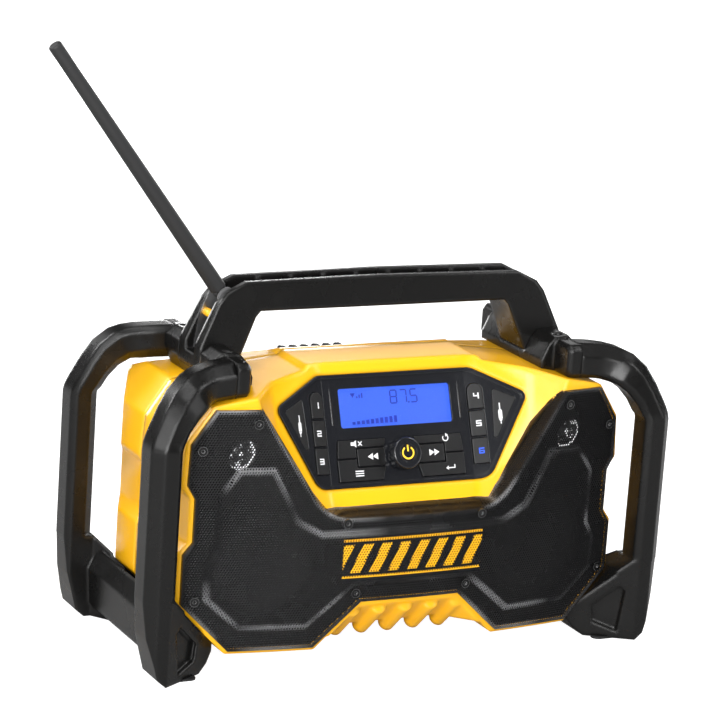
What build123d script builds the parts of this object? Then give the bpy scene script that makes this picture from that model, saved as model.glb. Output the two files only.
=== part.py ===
from build123d import *
import os
from math import asin, atan2, cos, hypot, radians, sin

# Jobsite radio, millimetres. X is right, -Y is the front, +Z is up.
# The origin is on the ground under the middle of the four feet.

os.makedirs("parts", exist_ok=True)

# ---------------------------------------------------------------- clearances
seat_gap = 0.1        # between fixed pieces that rest on each other
slide_gap = 0.35      # around buttons, covers and the battery door
bore_gap = 0.05       # radial, pins and shafts in their bores

# ------------------------------------------------------------------- housing
shell_width = 375.0
shell_wall = 3.0
shell_bottom = 15.0          # underside of the two lobes
arch_top = 25.0              # underside between the lobes
arch_half = 67.0
arch_slope = 10.0
plateau_top = 227.5
plateau_half = 74.0
plateau_step = 3.5
shoulder_high = 219.0        # top surface beside the handle legs
shoulder_low = 209.5         # top surface at the outer end
shoulder_mid_x = 118.0
shoulder_end_x = 166.0
cheek_x = 185.5              # upper corner of the side wall
cheek_z = 181.5
band_low = 104.0             # recessed band along the side wall
band_high = 139.0
band_depth = 7.0
band_ramp = 8.5
corner_bottom = 39.5         # 45 degree lower corner
front_center = -90.0         # front face under the grille, at the middle
front_bow = 19.5             # how far the front face falls back at the sides
seam_y = 10.0
rear_y = 78.0
rear_corner_y = 50.0
rear_corner_in = 14.5
roof_break_y = 16.0          # the roof slopes down behind this line
roof_drop = 24.5
corner_round = 4.0

# -------------------------------------------------------------- panel plane
panel_lean = 22.2            # degrees from upright
panel_z = 175.0
panel_y = -54.2
wing_start = 61.5            # fold line between panel and its raised wings
wing_rise = 14.5
hex_top_half = 66.0
hex_top_v = 46.4
hex_side_half = 108.4
hex_side_v = 22.0
hex_bottom_half = 74.0
hex_bottom_v = -41.0
hex_round = 13.0
hex_tip_round = 6.0
bezel_wall = 3.0
bezel_flange = 2.0
bezel_flange_out = 4.0
bezel_rim_width = 2.6
bezel_rim_height = 1.6

# --------------------------------------------------------------------- grille
grille_edge = 3.0            # yellow edge left around the grille
grille_rise = 4.0            # front of the sheet above the housing face
grille_sheet = 1.0
grille_emboss = 2.8
grille_skirt = 5.7           # room for the chamfer of the grille around the panel
grille_screw_d = 3.0
grille_screw_head_d = 7.2
grille_screw_length = 8.0    # inside the housing
panel_cut_bottom_half = 71.0
panel_cut_bottom_z = 124.4
panel_cut_slope = 56.0 / 83.0
panel_cut_top_z = 240.0
panel_cut_round = 34.0
grille_top_z = 207.4
grille_foot_z = 52.6         # lower edge of the grille over the arch
grille_foot_half = 42.0

# ----------------------------------------------------------------- speakers
woofer_x = 116.0
woofer_z = 84.0
woofer_radius = 43.0
basket_radius = 49.0
basket_depth = 34.0
magnet_radius = 30.0
magnet_depth = 15.0
tweeter_x = 139.8
tweeter_z = 170.3
tweeter_radius = 13.0
tweeter_flange = 4.0

# --------------------------------------------------------------- side frames
bar_outer_x = 222.0
bar_width = 23.5
bar_front_y = 99.0           # distance of the bar's outer face from the middle
bar_depth = 30.0
joint_half = 13.5            # half size of the square section there
joint_y = 60.5
joint_z = 227.5
foot_inner_x = 155.0
foot_bottom_inner_x = 168.0
foot_bottom_outer_x = 204.0
foot_recess_depth = 5.0
pad_thickness = 1.5

# ------------------------------------------------------------- handle and hub
handle_top = 290.0
handle_under = 266.4
handle_half_depth = 15.0
handle_window_half = 110.0
handle_top_half = handle_window_half + 8.0
handle_leg_inner = handle_window_half + 17.0   # inner edge of the leg where it ends
handle_leg_outer = handle_window_half + 47.5
joint_x = handle_window_half + 38.0            # plane where the bar meets the hub
handle_leg_z = 222.0
channel_half = 9.0
handle_web = 3.0
handle_rib = 2.4
handle_rib_pitch = 28.0
handle_rib_count = 8
hub_outer_x = handle_window_half + 46.0
hub_inner_x = handle_window_half + 26.0
hub_screw_x = handle_window_half + 33.0
hub_screw_y = 41.0

# -------------------------------------------------------------------- antenna
pivot_x = -handle_window_half - 21.3
pivot_z = 276.5
antenna_lean = 37.0          # degrees from upright, towards -X
antenna_base_gap = 6.5       # pivot to the rubber base
antenna_length = 235.5
antenna_base_d = 13.0
antenna_tip_d = 10.2
antenna_cap_length = 20.0
knuckle_d = 9.0
pivot_pin_d = 4.0

# ------------------------------------------------------------------- controls
button_height = 1.3
button_flange = 0.8
button_travel = 1.0
preset_width = 12.2
preset_pitch = 21.6
preset_length = 20.6
preset_x = 7.75              # from the fold line, along the wing
preset_v = 1.9
knob_v = -18.0
knob_radius = 12.3
knob_bottom = 1.8
knob_top = 13.5
shaft_d = 6.0
shaft_bore_d = 3.6
power_d = 13.6
window_half = 48.3
window_low = 5.0
window_high = 35.5
board_thickness = 1.6

# ---------------------------------------------------------------- rear fittings
door_x = -11.0
door_half = 54.0
door_low = 62.0
door_high = 192.0
door_thickness = 3.4
bay_half = 44.0
bay_low = 74.0
bay_high = 168.0
bay_depth = 58.0
bay_wall = 2.2
hinge_pin_d = 3.0
hinge_barrel_d = 7.0
latch_half = 30.0
latch_top = 209.0
latch_low = 193.0
latch_depth = 12.0
gland_x = 96.0
gland_z = 46.0


# =============================================================== shared shapes
def finish(body, name):
    """Label a piece and write its file."""
    body.label = name
    export_step(body, "parts/" + name + ".step")
    print(name, round(body.volume), len(body.solids()))


def mirrored(half):
    """Closed outline from its right half, listed from the top middle down."""
    left = [(-x, z) for x, z in reversed(half) if x > 0]
    return half + left


def upright(y):
    """Sketch plane facing the front: local x is X and local y is Z."""
    return Plane(origin=(0, y, 0), x_dir=(1, 0, 0), z_dir=(0, -1, 0))


shell_half = shell_width / 2
bottom_corner_x = shell_half - corner_bottom
bottom_corner_z = shell_bottom + corner_bottom
shell_outline = mirrored([
    (0, plateau_top),
    (plateau_half, plateau_top),
    (plateau_half + plateau_step, plateau_top - plateau_step),
    (shoulder_mid_x, shoulder_high),
    (shoulder_end_x, shoulder_low),
    (cheek_x, cheek_z),
    (shell_half, band_high + band_ramp),
    (shell_half - band_depth, band_high),
    (shell_half - band_depth, band_low),
    (shell_half, band_low - band_ramp),
    (shell_half, bottom_corner_z),
    (bottom_corner_x, shell_bottom),
    (arch_half + arch_slope, shell_bottom),
    (arch_half, arch_top),
    (0, arch_top),
])


def shell_profile(inset=0.0):
    """Front view of the housing, moved inwards by the inset."""
    with BuildSketch() as profile:
        with BuildLine():
            Polyline(*shell_outline, close=True)
        make_face()
        fillet(profile.vertices(), radius=corner_round)
        if inset:
            offset(amount=-inset, kind=Kind.INTERSECTION)
    return profile.sketch


def shell_plan(inset=0.0):
    """Top view of the housing with its bowed front and cut rear corners."""
    half = shell_half - inset
    front = front_center + inset
    side = front + front_bow
    rear = rear_y - inset
    with BuildSketch() as plan:
        with BuildLine():
            ThreePointArc((-half, side), (0, front), (half, side))
            Polyline(
                (half, side),
                (half, rear_corner_y),
                (half - rear_corner_in, rear),
                (rear_corner_in - half, rear),
                (-half, rear_corner_y),
                (-half, side),
            )
        make_face()
    return plan.sketch


def roof_wedge(inset=0.0):
    """What the sloping rear roof takes away, seen from the side."""
    reach = rear_y + 40
    slope = roof_drop / (rear_y - roof_break_y)
    low = plateau_top - slope * (reach - roof_break_y)
    with BuildSketch() as wedge:
        with BuildLine():
            Polyline(
                (roof_break_y, plateau_top - inset),
                (reach, low - inset),
                (reach, plateau_top + 40),
                (roof_break_y, plateau_top + 40),
                close=True,
            )
        make_face()
    return wedge.sketch


lean = radians(panel_lean)
panel = Plane(
    origin=(0, panel_y, panel_z),
    x_dir=(1, 0, 0),
    z_dir=(0, -cos(lean), sin(lean)),
)
panel_up = panel.y_dir
panel_section = Plane(origin=panel.origin, x_dir=(1, 0, 0), z_dir=-panel_up)
wing_angle = atan2(wing_rise, hex_side_half - wing_start)


def wing_plane(side):
    """Plane of one raised wing; side is 1 on the right and -1 on the left."""
    out = Vector(1, 0, 0)
    normal = panel.z_dir * cos(wing_angle) - out * side * sin(wing_angle)
    along = out * cos(wing_angle) + panel.z_dir * side * sin(wing_angle)
    return Plane(
        origin=panel.origin + out * side * wing_start,
        x_dir=along,
        z_dir=normal,
    )


def panel_band(low, high, reach=250.0):
    """Section of a band that follows the folded panel face, between two heights."""
    climb = wing_rise + (reach - hex_side_half)
    face = [
        (-reach, climb),
        (-hex_side_half, wing_rise),
        (-wing_start, 0),
        (wing_start, 0),
        (hex_side_half, wing_rise),
        (reach, climb),
    ]
    bottom = [(x, n + low) for x, n in face]
    top = [(x, n + high) for x, n in reversed(face)]
    with BuildSketch() as band:
        with BuildLine():
            Polyline(*bottom, *top, close=True)
        make_face()
    return band.sketch


def hexagon(grow=0.0):
    """Outline of the control panel, in the axes of the panel plane."""
    right = [
        (hex_top_half, hex_top_v),
        (hex_side_half, hex_side_v),
        (hex_bottom_half, hex_bottom_v),
    ]
    left = [(-x, v) for x, v in reversed(right)]
    with BuildSketch() as outline:
        with BuildLine():
            Polyline(*right, *left, close=True)
        make_face()
        tips = [v for v in outline.vertices() if abs(v.X) > hex_side_half - 1]
        fillet(tips, radius=hex_tip_round)
        ends = [v for v in outline.vertices() if v.Y > hex_top_v - 1 or v.Y < hex_bottom_v + 1]
        fillet(ends, radius=hex_round)
        if grow:
            offset(amount=grow, kind=Kind.ARC)
    return outline.sketch


def folded_hexagon(grow, low, high):
    """Solid of the panel outline that follows the folded face."""
    with BuildPart() as body:
        with BuildSketch(panel):
            add(hexagon(grow))
        extrude(amount=90, both=True)
        with BuildSketch(panel_section):
            add(panel_band(low, high))
        extrude(amount=90, both=True, mode=Mode.INTERSECT)
    return body.part


panel_cut_top_half = panel_cut_bottom_half + (panel_cut_top_z - panel_cut_bottom_z) * panel_cut_slope
panel_funnel = mirrored([
    (0, panel_cut_top_z),
    (panel_cut_top_half, panel_cut_top_z),
    (panel_cut_bottom_half, panel_cut_bottom_z),
    (0, panel_cut_bottom_z),
])


def funnel_sketch(grow=0.0):
    """Front view of the opening in the grille, open at the top."""
    with BuildSketch() as outline:
        with BuildLine():
            Polyline(*panel_funnel, close=True)
        make_face()
        low_corners = outline.vertices().group_by(Axis.Y)[0]
        fillet([v for v in low_corners if abs(v.X) > 1], radius=panel_cut_round)
        if grow:
            offset(amount=grow, kind=Kind.INTERSECTION)
    return outline.sketch


def panel_recess(depth=0.0):
    """Everything taken away in front of the panel frame."""
    with BuildPart() as body:
        with BuildSketch(upright(panel_y + 60)):
            add(funnel_sketch(grille_skirt + depth))
        extrude(amount=160)
        with BuildSketch(panel_section):
            add(panel_band(-depth, 160))
        extrude(amount=120, both=True, mode=Mode.INTERSECT)
    return body.part


grille_outline = mirrored([
    (0, panel_cut_bottom_z),
    (panel_cut_bottom_half, panel_cut_bottom_z),
    (
        panel_cut_bottom_half + (grille_top_z - panel_cut_bottom_z) * panel_cut_slope,
        grille_top_z,
    ),
    (shoulder_end_x - 1.0, grille_top_z),
    (cheek_x - grille_edge, cheek_z - 0.8),
    (shell_half - grille_edge - 1.0, band_high + band_ramp + 1.5),
    (shell_half - band_depth - grille_edge, band_high - 0.5),
    (shell_half - band_depth - grille_edge, band_low + 0.5),
    (shell_half - grille_edge, band_low - band_ramp - 0.8),
    (shell_half - grille_edge, bottom_corner_z + 1.2),
    (bottom_corner_x - 1.2, shell_bottom + grille_edge),
    (arch_half + arch_slope + 2.5, shell_bottom + grille_edge),
    (grille_foot_half, grille_foot_z),
    (0, grille_foot_z),
])
arch_mouth_z = grille_foot_z - grille_edge
arch_outline = mirrored([
    (0, arch_mouth_z),
    (grille_foot_half - grille_edge * 0.4, arch_mouth_z),
    (arch_half + arch_slope - 0.5, shell_bottom + grille_edge),
    (arch_half + arch_slope - 0.5, shell_bottom - 10),
    (0, shell_bottom - 10),
])
bow_radius = (shell_half ** 2 + front_bow ** 2) / (2 * front_bow)


def bow_y(x):
    """Depth of the bowed front face beside the middle."""
    return front_center + bow_radius - (bow_radius ** 2 - x ** 2) ** 0.5


def face_plane(x, z):
    """Plane on the bowed face, looking out along its normal."""
    slant = x / bow_radius
    level = cos(asin(slant))
    return Plane(origin=(x, bow_y(x), z), x_dir=(level, slant, 0), z_dir=(slant, -level, 0))


arch_run = 27.0              # how far back the finned arch face slopes
fin_count = 5
fin_pitch = 22.6
fin_radius = 6.6
fin_set = 5.0                # the fins start this far behind and below the rim


def arch_cut(depth=0.0):
    """The sloped recess under the middle of the grille."""
    fall = arch_mouth_z - arch_top
    with BuildSketch() as face:
        with BuildLine():
            Polyline(*arch_outline, close=True)
        make_face()
        if depth:
            offset(amount=depth, kind=Kind.INTERSECTION)
    mouth = upright(front_center - 1 + depth)
    with BuildPart() as body:
        with BuildSketch(mouth):
            add(face.sketch)
        extrude(amount=hypot(arch_run, fall), dir=(0, arch_run, -fall))
        with BuildSketch(mouth):
            add(face.sketch)
        extrude(amount=30)
    return body.part


def housing_block(inset=0.0):
    """Solid outer shape of the housing, or its cavity when inset."""
    with BuildPart() as body:
        with BuildSketch(upright(rear_y + 10)):
            add(shell_profile(inset))
        extrude(amount=220)
        with BuildSketch(Plane.XY):
            add(shell_plan(inset))
        extrude(amount=260, mode=Mode.INTERSECT)
        with BuildSketch(Plane.YZ):
            add(roof_wedge(inset))
        extrude(amount=260, both=True, mode=Mode.SUBTRACT)
        add(panel_recess(inset), mode=Mode.SUBTRACT)
        add(arch_cut(inset), mode=Mode.SUBTRACT)
    return body.part


def half_space(front):
    """Large box in front of or behind the seam between the shells."""
    with BuildPart() as body:
        with Locations((0, seam_y - 200 if front else seam_y + seat_gap + 200, 150)):
            Box(600, 400, 500)
    return body.part


outer_block = housing_block()
inner_block = housing_block(shell_wall)

grille_screw_places = [
    (132.9, 197.1), (174.0, 176.9), (57.4, 116.4), (174.0, 58.8), (47.3, 60.2),
    (-132.9, 197.1), (-174.0, 176.9), (-57.4, 116.4), (-174.0, 58.8), (-47.3, 60.2),
]
post_places = [
    (168.0, 176.0), (-168.0, 176.0),
    (171.0, 70.0), (-171.0, 70.0),
    (58.0, 38.0), (-58.0, 38.0),
]
post_d = 9.0
post_screw_d = 3.6
post_head_d = 7.0
post_grip = 24.0             # screw length inside the front post
seal_inset = 0.9
seal_width = 1.2
seal_reach = 1.4


def screw_posts(start_y, length):
    """Round posts towards the front, trimmed by the outside of the housing."""
    with BuildPart() as posts:
        with BuildSketch(upright(start_y)):
            with Locations(*post_places):
                Circle(post_d / 2)
        extrude(amount=length)
        add(outer_block, mode=Mode.INTERSECT)
    return posts.part


def seal_ring(grow=0.0):
    """Ring that sits in a groove of both shells."""
    with BuildPart() as ring:
        with BuildSketch(upright(seam_y + seal_reach + grow)):
            add(shell_profile(seal_inset - grow))
            add(shell_profile(seal_inset + seal_width + grow), mode=Mode.SUBTRACT)
        extrude(amount=(seal_reach + grow) * 2)
    return ring.part


def grille_bosses():
    """Short bosses behind the face for the grille screws."""
    with BuildPart() as bosses:
        for x, z in grille_screw_places:
            with BuildSketch(face_plane(x, z)):
                Circle(grille_screw_d / 2 + 2.0)
            extrude(amount=-grille_screw_length - 2.0)
        add(outer_block, mode=Mode.INTERSECT)
    return bosses.part


speaker_seat_y = -68.0       # flat seat of the speakers behind the curved face


def speaker_seats():
    """Flat rings behind the curved face that the speakers are screwed to."""
    with BuildPart() as rings:
        with BuildSketch(upright(speaker_seat_y)):
            for side in (-1, 1):
                with Locations((side * woofer_x, woofer_z)):
                    Circle(basket_radius + 1)
                with Locations((side * tweeter_x, tweeter_z)):
                    Circle(tweeter_radius + tweeter_flange + 1)
        extrude(amount=speaker_seat_y - front_center)
        add(outer_block, mode=Mode.INTERSECT)
    return rings.part


# ==================================================================== housing
with BuildPart() as front_housing:
    add(outer_block)
    add(half_space(True), mode=Mode.INTERSECT)
    # fins down the sloped arch face
    fin_fall = arch_mouth_z - arch_top
    fin_length = hypot(arch_run, fin_fall)
    fin_dir = Vector(0, arch_run / fin_length, -fin_fall / fin_length)
    for index in range(fin_count):
        fin_x = (index - (fin_count - 1) / 2) * fin_pitch
        fin_plane = Plane(
            origin=(fin_x, front_center + fin_set, arch_mouth_z - fin_set + 1),
            x_dir=(1, 0, 0),
            z_dir=fin_dir,
        )
        with BuildSketch(fin_plane):
            Circle(fin_radius)
        extrude(amount=fin_length + 2)
    add(inner_block, mode=Mode.SUBTRACT)
    add(folded_hexagon(slide_gap, -bezel_wall * 2, 30), mode=Mode.SUBTRACT)
    add(speaker_seats())
    for side in (-1, 1):
        with BuildSketch(upright(seam_y - 30)):
            with Locations((side * woofer_x, woofer_z)):
                Circle(woofer_radius)
            with Locations((side * tweeter_x, tweeter_z)):
                Circle(tweeter_radius)
        extrude(amount=120, mode=Mode.SUBTRACT)
    add(screw_posts(seam_y, seam_y - front_center))
    add(grille_bosses())
    for x, z in grille_screw_places:
        with BuildSketch(face_plane(x, z).offset(1.0)):
            Circle(grille_screw_d / 2 + bore_gap)
        extrude(amount=-grille_screw_length - 1.2, mode=Mode.SUBTRACT)
    with BuildSketch(upright(seam_y)):
        with Locations(*post_places):
            Circle(post_screw_d / 2 + bore_gap)
    extrude(amount=post_grip, mode=Mode.SUBTRACT)
    add(seal_ring(bore_gap), mode=Mode.SUBTRACT)
finish(front_housing.part, "front_housing")

door_mid_z = (door_low + door_high) / 2
bay_mid_z = (bay_low + bay_high) / 2
bay_back_y = rear_y - shell_wall - seat_gap
bay_front_y = bay_back_y - bay_depth
hinge_y = rear_y + slide_gap + hinge_barrel_d / 2
hinge_z = door_low - 1.0
barrel_half = 28.0
lug_length = 14.0
lug_inner = barrel_half + slide_gap
head_seat_y = rear_y - 12.0
head_height = 3.0
supply_x = 122.0
supply_z = 104.0
supply_width = 56.0
supply_height = 60.0
supply_post_places = [
    (supply_x + x, supply_z + z)
    for x in (6 - supply_width / 2, supply_width / 2 - 6)
    for z in (6 - supply_height / 2, supply_height / 2 - 6)
]
supply_post = 9.0
supply_back_y = rear_y - shell_wall + 1 - supply_post - seat_gap

# ---------------------------------------------------------------- rear housing
with BuildPart() as rear_housing:
    add(outer_block)
    add(half_space(False), mode=Mode.INTERSECT)
    add(inner_block, mode=Mode.SUBTRACT)
    # screw sleeves down to the seam
    with BuildSketch(upright(rear_y - 1)):
        with Locations(*post_places):
            Circle(post_d / 2)
    extrude(amount=rear_y - 1 - seam_y - seat_gap)
    with BuildSketch(upright(rear_y + 1)):
        with Locations(*post_places):
            Circle(post_screw_d / 2 + bore_gap)
    extrude(amount=rear_y, mode=Mode.SUBTRACT)
    with BuildSketch(upright(rear_y + 1)):
        with Locations(*post_places):
            Circle(post_head_d / 2 + seat_gap)
    extrude(amount=rear_y + 1 - head_seat_y, mode=Mode.SUBTRACT)
    # opening of the battery bay
    with BuildSketch(upright(rear_y + 1)):
        with Locations((door_x, bay_mid_z)):
            Rectangle(bay_half * 2, bay_high - bay_low)
    extrude(amount=shell_wall + 2, mode=Mode.SUBTRACT)
    # hinge lugs under the door
    for side in (-1, 1):
        lug_x = door_x + side * (lug_inner + lug_length / 2)
        with BuildSketch(Plane(origin=(lug_x - lug_length / 2, 0, 0), x_dir=(0, 1, 0), z_dir=(1, 0, 0))):
            with Locations((hinge_y, hinge_z)):
                Circle(hinge_barrel_d / 2)
            with Locations(((rear_y + hinge_y) / 2 - 0.5, hinge_z)):
                Rectangle(hinge_y - rear_y + 1, hinge_barrel_d)
        extrude(amount=lug_length)
        with BuildSketch(Plane(origin=(lug_x - lug_length, 0, 0), x_dir=(0, 1, 0), z_dir=(1, 0, 0))):
            with Locations((hinge_y, hinge_z)):
                Circle(hinge_pin_d / 2 + bore_gap)
        extrude(amount=lug_length * 2, mode=Mode.SUBTRACT)
    # hole of the mains inlet
    with BuildSketch(upright(rear_y + 1)):
        with Locations((gland_x, gland_z)):
            Circle(6.0)
    extrude(amount=shell_wall + 2, mode=Mode.SUBTRACT)
    # posts that carry the power supply board
    with BuildSketch(upright(rear_y - shell_wall + 1)):
        with Locations(*supply_post_places):
            Circle(3.5)
    extrude(amount=supply_post)
    add(seal_ring(bore_gap), mode=Mode.SUBTRACT)
finish(rear_housing.part, "rear_housing")

finish(seal_ring(), "housing_seal")

with BuildPart() as housing_screws:
    with BuildSketch(upright(head_seat_y + head_height)):
        with Locations(*post_places):
            Circle(post_head_d / 2)
            RegularPolygon(1.6, 6, mode=Mode.SUBTRACT)
    extrude(amount=head_height)
    with BuildSketch(upright(head_seat_y)):
        with Locations(*post_places):
            Circle(post_screw_d / 2)
    extrude(amount=head_seat_y - seam_y + post_grip - 2)
finish(housing_screws.part, "housing_screws")

# --------------------------------------------------------------------- grille
emboss_outline = mirrored([
    (0, 109.0),
    (78.0, 109.0),
    (98.0, 120.0),
    (119.0, 161.0),
    (146.0, 161.0),
    (160.5, 141.5),
    (160.0, 98.0),
    (168.0, 86.0),
    (166.5, 60.0),
    (140.0, 36.5),
    (87.0, 35.5),
    (50.0, 66.5),
    (0, 66.5),
])
funnel_depth = 16.0          # how far behind the middle of the face the skirt ends
funnel_taper = 15.0


def face_front(rise):
    """Top view of everything behind the bowed face, at a height above it."""
    half = shell_half + 5
    with BuildSketch() as plan:
        with BuildLine():
            ThreePointArc((-half, bow_y(half) - rise), (0, front_center - rise), (half, bow_y(half) - rise))
            Polyline((half, bow_y(half) - rise), (half, 0), (-half, 0), (-half, bow_y(half) - rise))
        make_face()
    return plan.sketch


def grille_body(shrink, rise, outline):
    """Solid under the front of the grille, used twice to make the sheet."""
    with BuildPart() as body:
        with BuildSketch(upright(-40)):
            with BuildLine():
                Polyline(*outline, close=True)
            make_face()
            if shrink:
                offset(amount=-shrink, kind=Kind.INTERSECTION)
        extrude(amount=100)
        with BuildSketch(Plane.XY):
            add(face_front(rise))
        extrude(amount=260, mode=Mode.INTERSECT)
    return body.part


def grille_stack(shrink):
    """Base level and embossed level together, with the chamfer to the panel."""
    with BuildPart() as body:
        add(grille_body(shrink, grille_rise - shrink, grille_outline))
        add(grille_body(shrink, grille_rise + grille_emboss - shrink, emboss_outline))
        back = front_center + funnel_depth + shrink / sin(radians(funnel_taper))
        with BuildSketch(upright(back)):
            add(funnel_sketch())
        extrude(amount=40, taper=-funnel_taper, mode=Mode.SUBTRACT)
    return body.part


with BuildPart() as speaker_grille:
    add(grille_stack(0))
    add(grille_stack(grille_sheet), mode=Mode.SUBTRACT)
    add(outer_block.moved(Location((0, -seat_gap, 0))), mode=Mode.SUBTRACT)
    for x, z in grille_screw_places:
        with BuildSketch(face_plane(x, z).offset(grille_rise + 2)):
            Circle(grille_screw_d / 2 + seat_gap)
        extrude(amount=-grille_rise - 2, mode=Mode.SUBTRACT)
finish(speaker_grille.part, "speaker_grille")

grille_head_height = 1.6
with BuildPart() as grille_screws:
    for x, z in grille_screw_places:
        head = face_plane(x, z).offset(grille_rise + seat_gap)
        with BuildSketch(head):
            Circle(grille_screw_head_d / 2)
        extrude(amount=grille_head_height)
        with BuildSketch(head.offset(grille_head_height)):
            RegularPolygon(1.5, 6)
        extrude(amount=-1.0, mode=Mode.SUBTRACT)
        with BuildSketch(head):
            Circle(grille_screw_d / 2)
        extrude(amount=-grille_rise - grille_screw_length)
finish(grille_screws.part, "grille_screws")

# ------------------------------------------------------------------- speakers

def ring_of_revolution(x, z, points):
    """Turn a closed (radius, depth) outline about an axis along Y."""
    side_plane = Plane(origin=(x, 0, z), x_dir=(1, 0, 0), z_dir=(0, 0, 1))
    with BuildPart() as turned:
        with BuildSketch(side_plane):
            with BuildLine():
                Polyline(*points, close=True)
            make_face()
        revolve(axis=Axis((x, 0, z), (0, 1, 0)))
    return turned.part


def make_speaker(side, name):
    """Basket, cone and magnet of one woofer, and the tweeter above it."""
    x = side * woofer_x
    seat = speaker_seat_y + seat_gap
    back = seat + basket_depth
    with BuildPart() as basket:
        add(ring_of_revolution(x, woofer_z, [
            (woofer_radius, seat),
            (basket_radius, seat),
            (basket_radius, seat + 2.0),
            (woofer_radius + 0.5, seat + 2.0),
            (magnet_radius - 6, back),
            (8.0, back),
            (8.0, back - 1.6),
            (magnet_radius - 7, back - 1.6),
            (woofer_radius - 2.5, seat + 1.4),
            (woofer_radius, seat + 1.4),
        ]))
        with BuildSketch(upright(back - 3)):
            with Locations((x, woofer_z)):
                with PolarLocations(33.0, 6):
                    Circle(6.0)
        extrude(amount=basket_depth - 9, mode=Mode.SUBTRACT)
    finish(basket.part, name + "_woofer_basket")

    cone = ring_of_revolution(x, woofer_z, [
        (woofer_radius - 0.2, seat + 0.3),
        (woofer_radius - 0.2, seat + 1.2),
        (woofer_radius - 4.0, seat - 0.8),
        (woofer_radius - 8.0, seat + 2.2),
        (13.0, back - 12.0),
        (0.0, back - 16.0),
        (0.0, back - 17.0),
        (13.0, back - 13.4),
        (woofer_radius - 8.0, seat + 1.0),
        (woofer_radius - 4.0, seat - 1.9),
    ])
    finish(cone, name + "_woofer_cone")

    magnet = ring_of_revolution(x, woofer_z, [
        (0.0, back + seat_gap),
        (magnet_radius, back + seat_gap),
        (magnet_radius, back + magnet_depth),
        (0.0, back + magnet_depth),
    ])
    finish(magnet, name + "_woofer_magnet")

    tweeter = ring_of_revolution(side * tweeter_x, tweeter_z, [
        (0.0, seat - 3.5),
        (4.0, seat - 2.9),
        (7.0, seat - 0.6),
        (8.5, seat + 0.6),
        (tweeter_radius - 0.4, seat - 1.0),
        (tweeter_radius - 0.4, seat),
        (tweeter_radius + tweeter_flange, seat),
        (tweeter_radius + tweeter_flange, seat + 2.0),
        (tweeter_radius - 1.0, seat + 2.0),
        (tweeter_radius - 1.0, seat + 15.0),
        (0.0, seat + 15.0),
    ])
    finish(tweeter, name + "_tweeter")


make_speaker(-1, "left")
make_speaker(1, "right")

# --------------------------------------------------------------- control panel
key_depth = 3.8
bezel_back = bezel_wall + bezel_flange
preset_gap = 1.8
preset_end_round = 5.6        # free ends of the two key columns
seek_gap = 1.2
seek_left = 14.2
seek_right = 37.4
seek_low = -25.2
seek_high = -11.8
key_outer = 54.5
mute_top = -4.6
menu_bottom = -36.4
cover_thickness = 1.7
jack_bore_d = 3.6
jack_lx = 27.5
jack_v = 12.0


def key_sketch(kind, row=0):
    """Outline of a key, drawn for the right side of the panel."""
    with BuildSketch() as key:
        if kind == "preset":
            Rectangle(preset_width, preset_pitch - preset_gap)
            ends = key.vertices().group_by(Axis.Y)
            for end, its_row in ((ends[-1], -1), (ends[0], 1)):
                fillet(end, radius=preset_end_round if row == its_row else 1.0)
        else:
            if kind == "seek":
                corners = [
                    (seek_left, seek_low), (seek_right, seek_low),
                    (seek_right, seek_high), (seek_left, seek_high),
                ]
            elif kind == "upper":
                corners = [
                    (seek_left - 1.5, mute_top), (key_outer - 1.5, mute_top),
                    (key_outer, mute_top - 13.8), (seek_right + seek_gap, mute_top - 13.8),
                    (seek_right + seek_gap, seek_high + seek_gap),
                    (seek_left - 0.5, seek_high + seek_gap),
                ]
            else:
                corners = [
                    (seek_right + seek_gap, mute_top - 15.0), (key_outer + 0.2, mute_top - 15.0),
                    (key_outer, menu_bottom), (seek_left + 3.0, menu_bottom),
                    (seek_left, seek_low - seek_gap), (seek_right + seek_gap, seek_low - seek_gap),
                ]
            with BuildLine():
                Polyline(*corners, close=True)
            make_face()
            fillet(key.vertices(), radius=0.45)
    return key.sketch


def key_place(kind, side, row=0):
    """Plane on the panel face where a key's outline is drawn."""
    if kind == "preset":
        wing = wing_plane(side)
        return Plane(
            origin=wing.from_local_coords((side * preset_x, preset_v - row * preset_pitch)),
            x_dir=wing.x_dir,
            z_dir=wing.z_dir,
        )
    return panel


def key_outline(kind, side, row=0):
    """Key outline, flipped over for the left side."""
    right = key_sketch(kind, row)
    return right if side > 0 else mirror(right, about=Plane.YZ)


def key_body(kind, side, row=0):
    place = key_place(kind, side, row)
    with BuildPart() as key:
        with BuildSketch(place.offset(-key_depth)):
            add(key_outline(kind, side, row))
        extrude(amount=key_depth + button_height)
        top = key.faces().sort_by(Axis(place.origin, place.z_dir))[-1]
        fillet(top.edges(), radius=0.4)
    return key.part


keys = [
    ("preset_button_1", "preset", -1, -1),
    ("preset_button_2", "preset", -1, 0),
    ("preset_button_3", "preset", -1, 1),
    ("preset_button_4", "preset", 1, -1),
    ("preset_button_5", "preset", 1, 0),
    ("preset_button_6", "preset", 1, 1),
    ("mute_button", "upper", -1, 0),
    ("menu_button", "lower", -1, 0),
    ("mode_button", "upper", 1, 0),
    ("enter_button", "lower", 1, 0),
    ("seek_back_button", "seek", -1, 0),
    ("seek_forward_button", "seek", 1, 0),
]
for name, kind, side, row in keys:
    finish(key_body(kind, side, row), name)

cover_corners = [(40.0, 19.4), (22.0, 28.4), (19.6, -14.7)]


def cover_sketch():
    """Triangular socket cover, drawn in the axes of the right wing."""
    with BuildSketch() as cover:
        with BuildLine():
            Polyline(*cover_corners, close=True)
        make_face()
        fillet(cover.vertices(), radius=1.6)
    return cover.sketch


def cover_outline(side):
    return cover_sketch() if side > 0 else mirror(cover_sketch(), about=Plane.YZ)


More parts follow.
